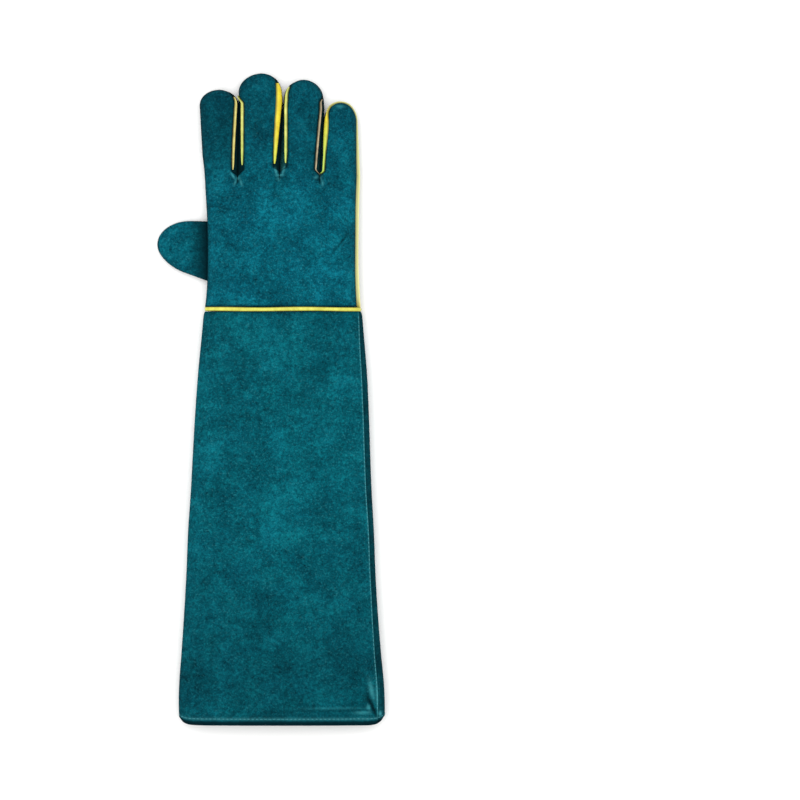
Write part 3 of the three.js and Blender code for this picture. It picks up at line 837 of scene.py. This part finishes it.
@dataclass
class HandPanels:
    """The back, the palm and the side strips between the fingers."""

    form: HandForm
    origin: np.ndarray
    columns: int = 30
    strip_columns: int = 12

    def _angles(self, finger: Finger, q: np.ndarray, upper: bool) -> tuple[np.ndarray, np.ndarray]:
        """Angles of the panel's left and right edge at each row of a finger.

        Args:
            finger: the finger that is meant.
            q: distance of each row past the root line.
            upper: whether the panel is the back.

        Returns:
            Both angles in radians, for each row.
        """
        form = self.form
        if upper:
            lift = [np.where(q < 0, 0, form.seam_angle(finger, q, side)) for side in (False, True)]
            left, right = math.pi - lift[0], lift[1]
            if finger is FINGERS[0]:
                left = np.full_like(q, math.pi + math.radians(form.fold_angle))
            if finger is FINGERS[-1]:
                right = np.zeros_like(q)
            return left, right
        drop = [np.where(q < 0, 0, np.radians(form.lower_angle) * form.seam_share(finger, q, side))
                for side in (False, True)]
        left, right = math.pi + drop[0], 2 * math.pi - drop[1]
        if finger is FINGERS[0]:
            left = np.full_like(q, math.pi + math.radians(form.fold_angle))
        if finger is FINGERS[-1]:
            right = np.full_like(q, 2 * math.pi)
        return left, right

    def _spread(self, finger: Finger, q: np.ndarray, upper: bool) -> np.ndarray:
        """Angle of every point of a panel: even round a finger, and even across inside the hand.

        Args:
            finger: the finger that is meant.
            q: distance of each row past the root line.
            upper: whether the panel is the back.

        Returns:
            Angles in radians, rows by columns.
        """
        left, right = self._angles(finger, q, upper)
        outermost = finger in (FINGERS[0], FINGERS[-1])
        share = np.linspace(0, 1, self.columns + (16 if outermost else 0) + 1)[None, :]
        round_it = mix(left[:, None], right[:, None], share)
        across = 2 * share - 1
        level = np.arccos(np.sign(across) * np.abs(across) ** (self.form.finger_power / 2))
        level = level if upper else 2 * math.pi - level
        inner = np.ones_like(share)
        if finger is FINGERS[0]:
            inner = smoothstep(0.3, 0.7, share)
        if finger is FINGERS[-1]:
            inner = 1 - smoothstep(0.3, 0.7, share)
        angle = mix(round_it, level, inner * (1 - smoothstep(-25, -1, q))[:, None])
        return angle if upper else np.clip(angle, math.pi + HAIR, 2 * math.pi - HAIR)

    def _panel(self, name: str, upper: bool) -> bpy.types.Object:
        """One whole panel of the hand: its four columns, each with its finger.

        Args:
            name: name of the piece.
            upper: whether the panel is the back.

        Returns:
            The panel, without its thickness.
        """
        parts = []
        for finger in FINGERS:
            inside, beyond = self.form.stations(finger)
            for q in (inside, beyond):
                points = self.form.place(finger, q[:, None], self._spread(finger, q, upper))
                seam = smoothstep(0, 5, q) if q is beyond else np.zeros_like(q)
                first = q is beyond and finger is not FINGERS[0]
                last = q is beyond or finger is FINGERS[-1]
                if finger is FINGERS[-1] and upper:
                    seam = np.ones_like(q)
                if upper:
                    points = seam_dips(points, seam, first, last)
                else:
                    points = points[:, ::-1]
                marks = self._marks(finger, q, points, upper)
                parts.append(grid_piece(name, points, self.origin, marks))
        return weld(join_pieces(parts, name), 0.05)

    def _marks(self, finger: Finger, q: np.ndarray, points: np.ndarray, upper: bool) -> dict:
        """Painted highlights and painted shade of a panel.

        Args:
            finger: the finger that is meant.
            q: distance of each row past the root line.
            points: the points of the panel, rows by columns.
            upper: whether the panel is the back.

        Returns:
            How much painted highlight and how much painted shade each point gets, from 0 to 1.
        """
        from_first, from_last = edge_distance(points)
        near = np.minimum(from_first, from_last)
        # Painted shade beside the seams of the welts, and along the outer side of the hand
        seam = hump(near, 2.7, 4) * smoothstep(-1, 4, q)[:, None]
        if finger is FINGERS[-1]:
            outer_side = from_last if upper else from_first
            seam = np.maximum(seam, hump(outer_side, 4.6, 4))
        # Painted shadow along the wrist welt
        wrist = hump(points[..., 1] - Leather.wrist_half, Leather.wrist_reach)
        # Painted shade on steep sides, the darker the more they face sideways
        side = 1 - np.abs(grid_normals(points)[..., 2])
        shade = np.maximum(np.maximum(0.85 * seam, 0.95 * wrist), 0.95 * side**1.4)
        # Each finger is darkened by its deep share from its root on
        shade = mix(shade, 1, finger.deep * smoothstep(-18, 30, q)[:, None])
        # Painted highlights on the tucks, and painted shade in the slanting crease
        tucks = sum(t.depth(points[..., 0], points[..., 1]) for t in TUCKS) if upper else 0 * shade
        return {"painted_highlight": np.clip(tucks, 0, 0.9), "shade": np.clip(shade - tucks, 0, 1)}

    def _strip(self, name: str, before: Finger, after: Finger) -> bpy.types.Object:
        """Side strip up the right of one finger and the left of the next.

        Args:
            name: name of the piece.
            before: the finger on the left of the strip.
            after: the finger on its right.

        Returns:
            The strip, without its thickness.
        """
        form = self.form
        share = np.linspace(0, 1, self.strip_columns + 1)[None, :]
        parts = []
        for finger, right in ((before, True), (after, False)):
            _, q = form.stations(finger)
            top = self._angles(finger, q, True)[1 if right else 0]
            low = self._angles(finger, q, False)[1 if right else 0]
            if right:
                low = low - 2 * math.pi
            angles = mix(top[:, None], low[:, None], share)
            upper = form.place(finger, q[:, None], np.maximum(angles, 0) if right
                               else np.minimum(angles, math.pi))
            lower = form.place(finger, q[:, None], np.minimum(angles, -HAIR) if right
                               else np.maximum(angles, math.pi + HAIR))
            above = angles >= 0 if right else angles <= math.pi
            points = np.where(above[..., None], upper, lower)
            if not right:
                points = points[:, ::-1]
            # Painted shade in the gaps between the fingers, darker towards the top, lifted by painted
            # highlights on the tucks
            root_dark, top_dark = STRIP_SHADES[before.name][0 if right else 1]
            tucks = sum(t.depth(points[..., 0], points[..., 1]) for t in TUCKS)
            shade = mix(root_dark, top_dark, smoothstep(8, 60, q))[:, None] - tucks
            parts.append(grid_piece(name, seam_dips(points, np.full(len(q), 0.6), True, True),
                                    self.origin, {"shade": np.clip(shade, 0, 1),
                                                  "painted_highlight": np.clip(tucks, 0, 0.9)}))
        return weld(join_pieces(parts, name), 0.05)

    def build(self, suede: bpy.types.Material, strip: bpy.types.Material) -> None:
        """Make the panels, give them the leather's thickness and dress them.

        Args:
            suede: finish of the back and the palm.
            strip: finish of the side strips.
        """
        thickness = Leather.thickness * MM
        for name, upper, node in (("back_of_hand", True, "hand_back"), ("palm_of_hand", False, "palm")):
            piece = self._panel(name, upper)
            apply_modifier(piece, "SOLIDIFY", thickness=thickness, offset=-1)
            dress(smooth(piece), suede, (node,))
        for before, after in zip(FINGERS, FINGERS[1:]):
            node = f"fourchette_{before.name}_{after.name}"
            piece = self._strip(f"side_strip_{before.name}_{after.name}", before, after)
            apply_modifier(piece, "SOLIDIFY", thickness=thickness, offset=-1)
            dress(smooth(piece), strip, (node,))


def bead(name: str, path: np.ndarray, down: np.ndarray, out: np.ndarray, width: np.ndarray,
         proud: np.ndarray, tint: np.ndarray, origin: np.ndarray,
         closed: bool = False) -> bpy.types.Object:
    """Bead of piping that lies on a seam.

    Args:
        name: name of the piece.
        path: points along the seam, in millimetres.
        down: unit directions along the surface, across the bead.
        out: unit directions away from the surface.
        width: width of the bead at each point.
        proud: how far it stands up from the surface at each point.
        tint: how pale, up to 1, or how green, down to -1, it is at each point.
        origin: middle of the wrist seam in the frame, in metres.
        closed: whether the path is a ring.

    Returns:
        The closed bead.
    """
    turns = np.linspace(0, 2 * math.pi, 13)
    across, up = superellipse(turns, 2.4)
    size = np.clip(width / 2, 0.35, 1)
    rise = np.where(up > 0, up * proud[:, None], up * 0.7)
    points = (path[:, None] + down[:, None] * (across[None, :, None] * width[:, None, None] / 2)
              + out[:, None] * (rise * size[:, None] + 0.25)[..., None])
    if not closed:
        ends = [np.repeat(points[i].mean(axis=0, keepdims=True), len(turns), axis=0)[None] for i in (0, -1)]
        points = np.concatenate([ends[0], points, ends[1]])
        tint = np.concatenate([tint[:1], tint, tint[-1:]])
    # Painted shade on the rounded edges of the bead, less where it is pale
    shade = smoothstep(0.6, 1.0, np.abs(across))[None] * mix(0.75, 0.5, np.clip(tint, 0, 1))[:, None]
    marks = {"shade": shade, "tint": tint[:, None] + 0 * shade}
    return weld(grid_piece(name, points, origin, marks), 0.01, outward=True)


def wander(path: np.ndarray, amount: float, length: float) -> np.ndarray:
    """Small unevenness along a path, repeatable and smooth, in millimetres."""
    run = run_along(path)
    return amount * (np.sin(run / length * 6.28 + path[0, 0]) + 0.6 * np.sin(run / length * 11.3))


@dataclass
class Welts:
    """Pipings up the sides of the fingers, down the outer side and round the wrist."""

    form: HandForm
    origin: np.ndarray

    def _seam(self, finger: Finger, q: np.ndarray, right: bool) -> tuple[np.ndarray, ...]:
        """Path of a finger's seam with the directions down its side and outwards.

        Args:
            finger: the finger that is meant.
            q: distance of each row past the root line.
            right: whether the seam is the one on the right.

        Returns:
            The points, and both directions at each point.
        """
        lift = self.form.seam_angle(finger, q, right)
        if right and finger is FINGERS[-1]:
            lift = 0 * lift
        angle = lift if right else math.pi - lift
        step = 0.06
        here = self.form.place(finger, q, angle)
        above = self.form.place(finger, q, angle + (step if right else -step))
        below = self.form.place(finger, q, np.where(angle > step, angle - step, angle)
                                if right else np.where(angle < math.pi - step, angle + step, angle))
        down = below - above
        down[:, 1] = 0
        down /= np.maximum(np.linalg.norm(down, axis=1, keepdims=True), 1e-6)
        out = np.stack([np.abs(down[:, 2]) * (1 if right else -1), 0 * q, np.abs(down[:, 0])], axis=1)
        return here, down, out

    def _finger(self, node: str, finger: Finger, right: bool, ends: tuple[float, float],
                widths: tuple[float, float], finish: bpy.types.Material,
                greenish: bool = False) -> None:
        """One piping up a finger's side, from past its root to short of its tip.

        Args:
            node: CAD node that it replaces.
            finger: the finger that is meant.
            right: whether the seam is the one on the right.
            ends: distances from the root line and from the tip.
            widths: width at the root and at the tip.
            finish: the material.
            greenish: whether it is greener at the root.
        """
        q = np.arange(ends[0], self.form.reach(finger) - ends[1], 1.0)
        path, down, out = self._seam(finger, q, right)
        share = np.linspace(0, 1, len(q))
        width = mix(widths[0], widths[1], share) + wander(path, 0.12, 17)
        width = width * (1 - 0.6 * np.abs(2 * share - 1) ** 6)
        tint = -0.5 * (1 - smoothstep(0, 0.5, share)) * greenish
        piece = bead(node.replace("piping", "welt"), path, down, out, width, 1.5 + 0 * q, tint,
                     self.origin)
        dress(smooth(piece), finish, (node,))

    def _side(self, finish: bpy.types.Material) -> None:
        """Piping up the inner side of the little finger, over its tip and down to the wrist.

        Args:
            finish: the material.
        """
        form, little = self.form, FINGERS[-1]
        reach = form.reach(little)
        tip = reach - little.tip
        rows = np.concatenate([np.arange(4.0, tip, 1.0),
                               tip + little.tip * np.sin(np.linspace(0, math.pi / 2, 20))])
        up, up_down, _ = self._seam(little, rows, False)
        back_rows = rows[::-1][1:]
        inside = form.stations(little)[0][::-1]
        falling = np.concatenate([back_rows, np.arange(6.4, 0.3, -1.0), inside,
                                  inside[-1:] - 1.4])
        fall, fall_down, _ = self._seam(little, falling, True)
        path = np.concatenate([up, fall])
        flat = np.array([0.0, 0.0, -1.0])
        over = np.concatenate([smoothstep(tip, reach - 1, rows), np.ones(len(falling))])
        down = mix(np.concatenate([up_down, fall_down]), flat, over[:, None])
        down = unit(down)
        ahead = np.gradient(path, axis=0)
        ahead /= np.maximum(np.linalg.norm(ahead, axis=1, keepdims=True), 1e-6)
        out = unit(np.cross(ahead, down))
        run = np.concatenate([-(reach - rows), reach - falling])
        width = through((-70, -50, -20, -8, 4, 30, 190), (1.6, 2.6, 5.2, 2.6, 1.7, 2.2, 2.2), run)
        proud = through((-70, -12, 0, 12, 26, 42, 60, 150, 172, 190),
                        (1.5, 1.3, 1.3, 1.0, 1.2, 1.9, 2.5, 2.6, 2.9, 3.0), run)
        tint = through((-80, -62, -34, -22, -8, 6, 150, 182, 190),
                       (-1, -0.95, -0.55, -0.3, 0.3, 1, 1, 0.8, 0.1), run)
        piece = bead("welt_side", path, down, out, width + wander(path, 0.1, 21), proud, tint,
                     self.origin)
        dress(smooth(piece), finish, ("piping_side",))

    def _wrist(self, finish: bpy.types.Material) -> None:
        """Ring of piping in the wrist seam.

        Args:
            finish: the material.
        """
        angle = np.linspace(0, 2 * math.pi, 241)
        across, rise = superellipse(angle, self.form.hand_power)
        left, right, floor, top = (float(v) for v in self.form.outline(0.0))
        x = (right - left) / 2 * across
        z = (floor + top) / 2 + (top - floor) / 2 * rise * np.where(rise < 0, 1.08, 1)
        dent = sum(d.depth(x, 0 * x) for d in DENTS) * np.clip(rise, 0, 1)
        path = np.stack([x, 0.25 * np.sin(x / 14), np.maximum(z, 1.8) - dent], axis=1)
        ahead = np.gradient(path, axis=0)
        ahead[0] = ahead[-1] = ahead[0] + ahead[-1]
        out = np.stack([ahead[:, 2], 0 * angle, -ahead[:, 0]], axis=1)
        out = unit(out)
        down = np.tile([0.0, 1.0, 0.0], (len(angle), 1))
        width = 3.9 + 0.15 * np.sin(x / 9)
        # At the right end it covers the foot of the long side welt
        proud = 1.5 - 1.1 * np.abs(across) ** 12 + 2.6 * np.clip(across, 0, 1) ** 12
        piece = bead("welt_wrist", path, down, out, width, proud, 0 * angle, self.origin, closed=True)
        dress(smooth(piece), finish, ("piping_wrist",))

    def build(self) -> None:
        """Make and dress all welts."""
        finish = {dye: WeltLeather(dye).build() for dye in WeltDye}
        index, middle, ring, _ = FINGERS
        self._finger("piping_index", index, True, (7.8, 6.4), (2.2, 3.2), finish[WeltDye.SOFT])
        self._finger("piping_middle_left", middle, False, (10.4, 20), (2.5, 3.5),
                     finish[WeltDye.GREENISH], True)
        self._finger("piping_middle_right", middle, True, (9.6, 8.2), (3.2, 8.2),
                     finish[WeltDye.STRONG], True)
        self._finger("piping_ring_left", ring, False, (10.4, 6), (2.9, 3.5), finish[WeltDye.GREENISH],
                     True)
        self._finger("piping_ring_right", ring, True, (2.8, 17.5), (1.8, 2.3), finish[WeltDye.TAN])
        self._side(finish[WeltDye.STRONG])
        self._wrist(finish[WeltDye.BRIGHT])


@dataclass
class Thumb:
    """Set-in thumb that lies turned under the palm."""

    form: HandForm
    origin: np.ndarray
    reach: float = 47.0
    height: float = 13.0
    place: float = 55.0
    root: float = 14.0
    power: float = 2.8
    # Heights above the wrist of its tip, its upper edge, and its lower edge at the root and the tip
    tip: float = 59.8
    upper: float = 82.0
    lower: tuple[float, float] = (20.4, 42.8)
    upper_rounding: float = 0.5
    lower_rounding: float = 0.6

    def surface(self, rows: int = 60, count: int = 96) -> np.ndarray:
        """Grid of points round and along the thumb.

        Args:
            rows: a measure of how many rows lie along it.
            count: number of columns round it.

        Returns:
            The points, rows by columns.
        """
        steps = (0, 0.22, 0.40, 0.56, 0.70, 0.83, 0.93, 0.985, 1.0)
        edge = float(self.form.outline(self.place)[0])
        share = np.concatenate([np.linspace(0, 0.7, rows // 2),
                                0.7 + 0.3 * np.sin(np.linspace(0, math.pi / 2, rows))[1:]])[:, None]
        turned, bent = (np.sqrt(1 - np.clip((share - start) / (1 - start), 0, 1) ** 2)
                        for start in (self.upper_rounding, self.lower_rounding))
        top = mix(self.tip, self.upper, turned) - 0.8 * (1 - smoothstep(0, 0.5, share))
        low_edge = mix(*self.lower, share) + (self.tip - self.lower[1]) * (1 - bent)
        tall = through(steps, (0.94, 1, 1.02, 1, 0.97, 0.9, 0.76, 0.56, 0.3), share)
        angle = np.linspace(0, 2 * math.pi, count + 1)
        across, rise = superellipse(angle[None, :], self.power)
        high = self.height * tall
        low = np.maximum(self.height * (1 - np.minimum(tall + 0.12, 1)) / 2, 0)
        x = edge + self.root - share * (self.root + self.reach) + 0 * across
        y = (top + low_edge) / 2 + (top - low_edge) / 2 * across
        z = (high + low) / 2 + (high - low) / 2 * rise * np.where(rise < 0, 1.08, 1)
        return np.stack([x, y, np.maximum(z, low)], axis=-1)[:, ::-1]

    def build(self, suede: bpy.types.Material) -> None:
        """Make the thumb's tube, with its side seam, and dress it.

        Args:
            suede: the material.
        """
        points = self.surface()
        angle = np.linspace(0, 2 * math.pi, points.shape[1])
        seam = hump(np.sin(angle), 0.16)[None, :]
        crown = np.linspace(0, 1, points.shape[0])[:, None]
        points = points - grid_normals(points) * (seam * 0.6 * np.minimum(1, 2 - 2 * crown))[..., None]
        edge = float(self.form.outline(self.place)[0])
        side = 1 - np.abs(grid_normals(points)[..., 2])
        # Painted shadow at the root, under the hand's overhanging edge, and painted shade on the steep
        # sides
        shade = np.maximum(smoothstep(edge - 24, edge + 3, points[..., 0]), 0.95 * side**1.3)
        # Painted shade along the seam's groove
        shade = np.maximum(shade, 0.5 * seam)
        piece = grid_piece("thumb_tube", points, self.origin,
                           {"shade": shade, "painted_highlight": 0 * shade})
        weld(piece, 0.02)
        apply_modifier(piece, "SOLIDIFY", thickness=Leather.thickness * MM, offset=-1)
        dress(smooth(piece), suede, ("thumb",))


# Painted highlights on the ridges, above zero, and painted shade in the crease between them, where the
# cuff's corner is bent
CORNER_FOLDS = (
    Dent(82.8, -350.0, 2.0, 9.0, 0.40, 12),
    Dent(80.4, -364.5, 2.4, 4.6, 0.45, 16),
    Dent(74.0, -370.5, 7.0, 1.4, 0.35),
    Dent(83.0, -364.0, 1.5, 12.0, -1.0, 25),
    Dent(77.4, -359.5, 2.6, 4.0, -0.40, 20),
    Dent(90.6, -371.5, 2.2, 3.4, 0.70),
    Dent(89.6, -352.0, 1.6, 16.0, 0.22, 3),
    Dent(88.0, -356.0, 1.2, 9.0, 0.25, 6),
    # Second crease above the hem
    Dent(48.0, -367.6, 34.0, 0.9, -0.35),
    Dent(48.0, -366.2, 30.0, 0.8, 0.15),
)


@dataclass
class Cuff:
    """Long cuff: one sheet folded at the thumb side, lapped at the other, with a turned hem."""

    origin: np.ndarray
    length: float = 382.0
    mouth_width: float = 189.6
    mouth_height: float = 31.0
    power: float = 2.5
    hem: float = 7.0
    lap_width: float = 9.0
    stitch: float = 3.2
    columns: int = 220

    def section(self, depth: Values) -> tuple[np.ndarray, ...]:
        """Left edge, right edge and top of the cuff at a depth below the wrist seam.

        Args:
            depth: distance below the wrist seam.

        Returns:
            The three values there.
        """
        share = np.asarray(depth, float) / self.length
        places = (0, 0.05, 0.15, 0.25, 0.34, 0.44, 0.53, 0.63, 0.73, 0.82, 0.92, 1.0)
        spread = through(places, (0.03, 0.10, 0.25, 0.35, 0.42, 0.495, 0.59, 0.655, 0.75, 0.86, 0.99,
                                  1.0), share)
        tall = through(places, (1, 0.97, 1.06, 1.07, 1.04, 1.07, 1.05, 1.03, 1.06, 1.01, 0.97, 0.97),
                       share)
        half = mix(HandForm.wrist_width, self.mouth_width, spread) / 2
        middle = through((0, 0.15, 0.34, 0.53, 0.82, 1), (1.1, 0.8, -0.1, -0.6, -0.4, 0.3), share)
        return middle - half, middle + half, mix(HandForm.wrist_height, self.mouth_height, share) * tall

    def setback(self, depth: Values) -> np.ndarray:
        """How far the lapped edge lies in from the right edge at a depth."""
        return through((0, 0.1, 0.3, 0.7, 0.85, 1), (2.6, 4.4, 5.0, 4.8, 5.8, 6.4), depth / self.length)

    def skin(self, depth: np.ndarray, share: np.ndarray) -> tuple[np.ndarray, np.ndarray]:
        """Points of the outer side.

        Args:
            depth: distance below the wrist seam of each row.
            share: place of each column round the sheet, from its upper to its lower edge.

        Returns:
            The points, and how far each lies into the overlap, from 1 at the edge to 0.
        """
        left, right, top = (v[:, None] for v in self.section(depth))
        half = (right - left) / 2
        inset = self.setback(depth)[:, None]
        start, end = (np.arccos(((half - inward) / half) ** (self.power / 2))
                      for inward in (inset, inset + self.lap_width))
        angle = mix(start, 2 * math.pi + end, share[None, :])
        across, rise = superellipse(angle, self.power)
        x = (left + right) / 2 + half * across
        z = np.maximum(top / 2 + top / 2 * rise * np.where(rise < 0, 1.08, 1), 0)
        into = 1 - smoothstep(0.5, 1, (angle - start) / (2 * (end - start)))
        lift = (Leather.thickness + 0.35) * into
        near = np.clip(depth[:, None] - (self.length - 2 * self.hem), 0, None) / (2 * self.hem)
        corner = (7.4 + 0.8 * np.cos(angle)) * near * np.abs(np.cos(angle)) ** 18
        y = -depth[:, None] + corner
        rising = np.clip(rise, 0, 1)
        z = z + lift - sum(d.depth(x, y) for d in DENTS) * rising
        return np.stack([x, y, z], axis=-1), into

    def build(self, suede: bpy.types.Material, thread: bpy.types.Material) -> None:
        """Make the sheet with its hem, its stitches, and dress them.

        Args:
            suede: finish of the sheet.
            thread: finish of the stitches.
        """
        body = np.linspace(Leather.wrist_half, self.length - self.hem - 3, 190)
        mouth = np.linspace(self.length - self.hem - 2, self.length, 14)
        depth = np.concatenate([body, mouth])
        share = np.linspace(0, 1, self.columns)
        points, into = self.skin(depth, share)
        normals = grid_normals(points)
        line = self.length - self.hem + 1
        groove = 0.55 * hump(depth - line, 1.2)
        roll = 1.1 * smoothstep(self.length - 2.5, self.length, depth)
        wrist = 0.9 * hump(depth - Leather.wrist_half, Leather.wrist_reach)
        push = (groove + roll + wrist)[:, None] + 0 * into
        points = points - normals * push[..., None]
        around = np.linspace(0, 1, self.columns)[None, :]
        # Painted highlight along the lapped edge
        edge = hump(around, 0.004)
        # Painted highlight along the hem's stitch line
        hem_line = hump(depth[:, None] - line, 1.3)
        # Painted shade on the rolled rim of the hem
        rim = smoothstep(line, line + 3.5, depth)[:, None]
        # The lower part of the cuff is darker towards the mouth
        low = 0.27 * smoothstep(0.5, 0.86, depth / self.length)[:, None]
        # Painted shade on the lower layer where it shows beyond the lapped edge
        under = smoothstep(0.86, 0.89, around)
        folds = sum(f.depth(points[..., 0], points[..., 1]) for f in CORNER_FOLDS)
        # Painted shade on steep sides
        side = 1 - np.abs(normals[..., 2])
        painted_highlight = np.clip(0.38 * edge + 0.27 * hem_line + np.maximum(folds, 0), 0, 0.9)
        # Painted shadow along the wrist welt and painted shade on steep sides are added here
        shade = np.maximum(low, 0.95 * rim) + 0.5 * wrist[:, None] + 0.5 * side**2
        shade = np.clip(shade - np.minimum(folds, 0), 0, 1)
        marks = {"painted_highlight": painted_highlight * (1 - under * (1 - np.clip(folds, 0, 1))),
                 "shade": np.clip(np.maximum(shade, 0.62 * under) - np.maximum(folds, 0), 0, 1)}
        piece = grid_piece("cuff_sheet", points, self.origin, marks)
        group = piece.vertex_groups.new(name="hem")
        thick = np.repeat(0.5 + 0.5 * (depth > line - 0.5), self.columns)
        for weight in (0.5, 1.0):
            group.add([int(i) for i in np.flatnonzero(thick == weight)], weight, "REPLACE")
        apply_modifier(piece, "SOLIDIFY", thickness=2 * Leather.thickness * MM, offset=-1,
                       vertex_group="hem")
        dress(smooth(piece), suede, ("cuff",))
        self._stitches(thread)

    def _stitches(self, thread: bpy.types.Material) -> None:
        """Row of stitches along the hem, and one beside the lapped edge.

        Args:
            thread: the material.
        """
        rows = []
        around = np.linspace(0.002, 0.995, 1200)
        hem, _ = self.skin(np.full(1, self.length - self.hem + 1), around)
        rows.append(np.maximum(hem[0] - np.array([0, 0, 0.15]), [-self.length, -self.length, 0.3]))
        down = np.linspace(6, self.length - self.hem - 4, 900)
        lap, _ = self.skin(down, np.array([0.0035, 0.004]))
        rows.append(lap[:, 0])
        bpy.ops.object.select_all(action="DESELECT")
        bpy.ops.mesh.primitive_uv_sphere_add(segments=8, ring_count=5, radius=1)
        model = bpy.context.active_object
        base = np.array([v.co for v in model.data.vertices])
        faces = [tuple(p.vertices) for p in model.data.polygons]
        bpy.data.objects.remove(model)
        points, polygons = [], []
        for path in rows:
            run = run_along(path)
            for at in np.arange(2, run[-1] - 2, self.stitch + 0.7):
                centre = np.array([np.interp(at, run, path[:, i]) for i in range(3)])
                ahead = np.array([np.interp(at + 0.8, run, path[:, i]) for i in range(3)]) - centre
                ahead /= np.linalg.norm(ahead)
                up = np.array([0.0, 0.0, 1.0]) - ahead * ahead[2]
                up /= np.linalg.norm(up)
                side = np.cross(ahead, up)
                placed = (centre + base[:, :1] * ahead * self.stitch / 2 + base[:, 1:2] * side * 0.4
                          + base[:, 2:] * up * 0.3)
                polygons += [tuple(i + len(points) * len(base) for i in face) for face in faces]
                points.append(placed)
        mesh = bpy.data.meshes.new("cuff_stitches")
        mesh.from_pydata(np.concatenate(points) * MM + self.origin, [], polygons)
        piece = bpy.data.objects.new("cuff_stitches", mesh)
        bpy.context.scene.collection.objects.link(piece)
        dress(smooth(piece), thread)


@dataclass
class Studio:
    """Plain pale floor, soft light from above and the camera straight over the glove."""

    scale: float = 0.9205
    glove_column: float = 271.0
    glove_row: float = 399.0
    frame: float = 800.0
    height: float = 4.0

    def _floor(self) -> None:
        """Matt white floor."""
        bpy.ops.object.select_all(action="DESELECT")
        bpy.ops.mesh.primitive_grid_add(x_subdivisions=4, y_subdivisions=4, size=8)
        floor = bpy.context.active_object
        floor.name = "floor"
        material = bpy.data.materials.new("white_paper")
        material.use_nodes = True
        shader = material.node_tree.nodes["Principled BSDF"]
        shader.inputs["Base Color"].default_value = srgb("#fdfdfc")
        shader.inputs["Roughness"].default_value = 0.9
        floor.data.materials.append(material)

    def _lamp(self, name: str, place: tuple[float, float, float], size: float, watts: float) -> None:
        """Square soft light that points at the glove.

        Args:
            name: name of the lamp.
            place: where it is, in metres.
            size: length of its side, in metres.
            watts: its power.
        """
        bpy.ops.object.light_add(type="AREA", location=place)
        lamp = bpy.context.active_object
        lamp.name, lamp.data.shape, lamp.data.size, lamp.data.energy = name, "SQUARE", size, watts
        turn = np.array(place) / np.linalg.norm(place)
        lamp.rotation_euler = (math.acos(turn[2]), 0, math.atan2(turn[1], turn[0]) + math.pi / 2)

    def build(self) -> None:
        """Make the floor, the lights and the camera."""
        self._floor()
        self._lamp("overhead", (0.05, 0.25, 2.4), 2.2, 42)
        self._lamp("fill", (-1.6, -0.9, 1.5), 1.2, 5)
        world = bpy.data.worlds.new("soft_grey")
        world.use_nodes = True
        world.node_tree.nodes["Background"].inputs["Color"].default_value = (1, 1, 1, 1)
        world.node_tree.nodes["Background"].inputs["Strength"].default_value = 0.8
        bpy.context.scene.world = world
        camera = bpy.data.cameras.new("overhead_camera")
        camera.sensor_width = 36
        camera.clip_end = 50
        camera.lens = 36 * (self.height - 0.012) / (self.frame * self.scale * MM)
        holder = bpy.data.objects.new("overhead_camera", camera)
        holder.location = ((self.frame / 2 - self.glove_column) * self.scale * MM,
                           (self.glove_row - self.frame / 2) * self.scale * MM, self.height)
        bpy.context.scene.collection.objects.link(holder)
        bpy.context.scene.camera = holder
        bpy.context.scene.view_settings.view_transform = "Standard"


def main() -> None:
    """Load the frame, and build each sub-assembly in order."""
    logging.basicConfig(level=logging.INFO, format="%(name)s %(message)s")
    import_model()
    low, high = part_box("piping_wrist")
    form = HandForm()
    left, right, *_ = form.outline(0.0)
    origin = np.array([(low.x + high.x) / 2 - float(left + right) / 2 * MM, (low.y + high.y) / 2, 0.0])
    Studio().build()
    suede, cuff_suede = DyedSuede(Dye.HAND).build(), DyedSuede(Dye.CUFF).build()
    HandPanels(form, origin).build(suede, DyedSuede(Dye.STRIP).build())
    Thumb(form, origin).build(DyedSuede(Dye.THUMB).build())
    Cuff(origin).build(cuff_suede, SewingThread().build())
    Welts(form, origin).build()


if __name__ == "__main__":
    main()
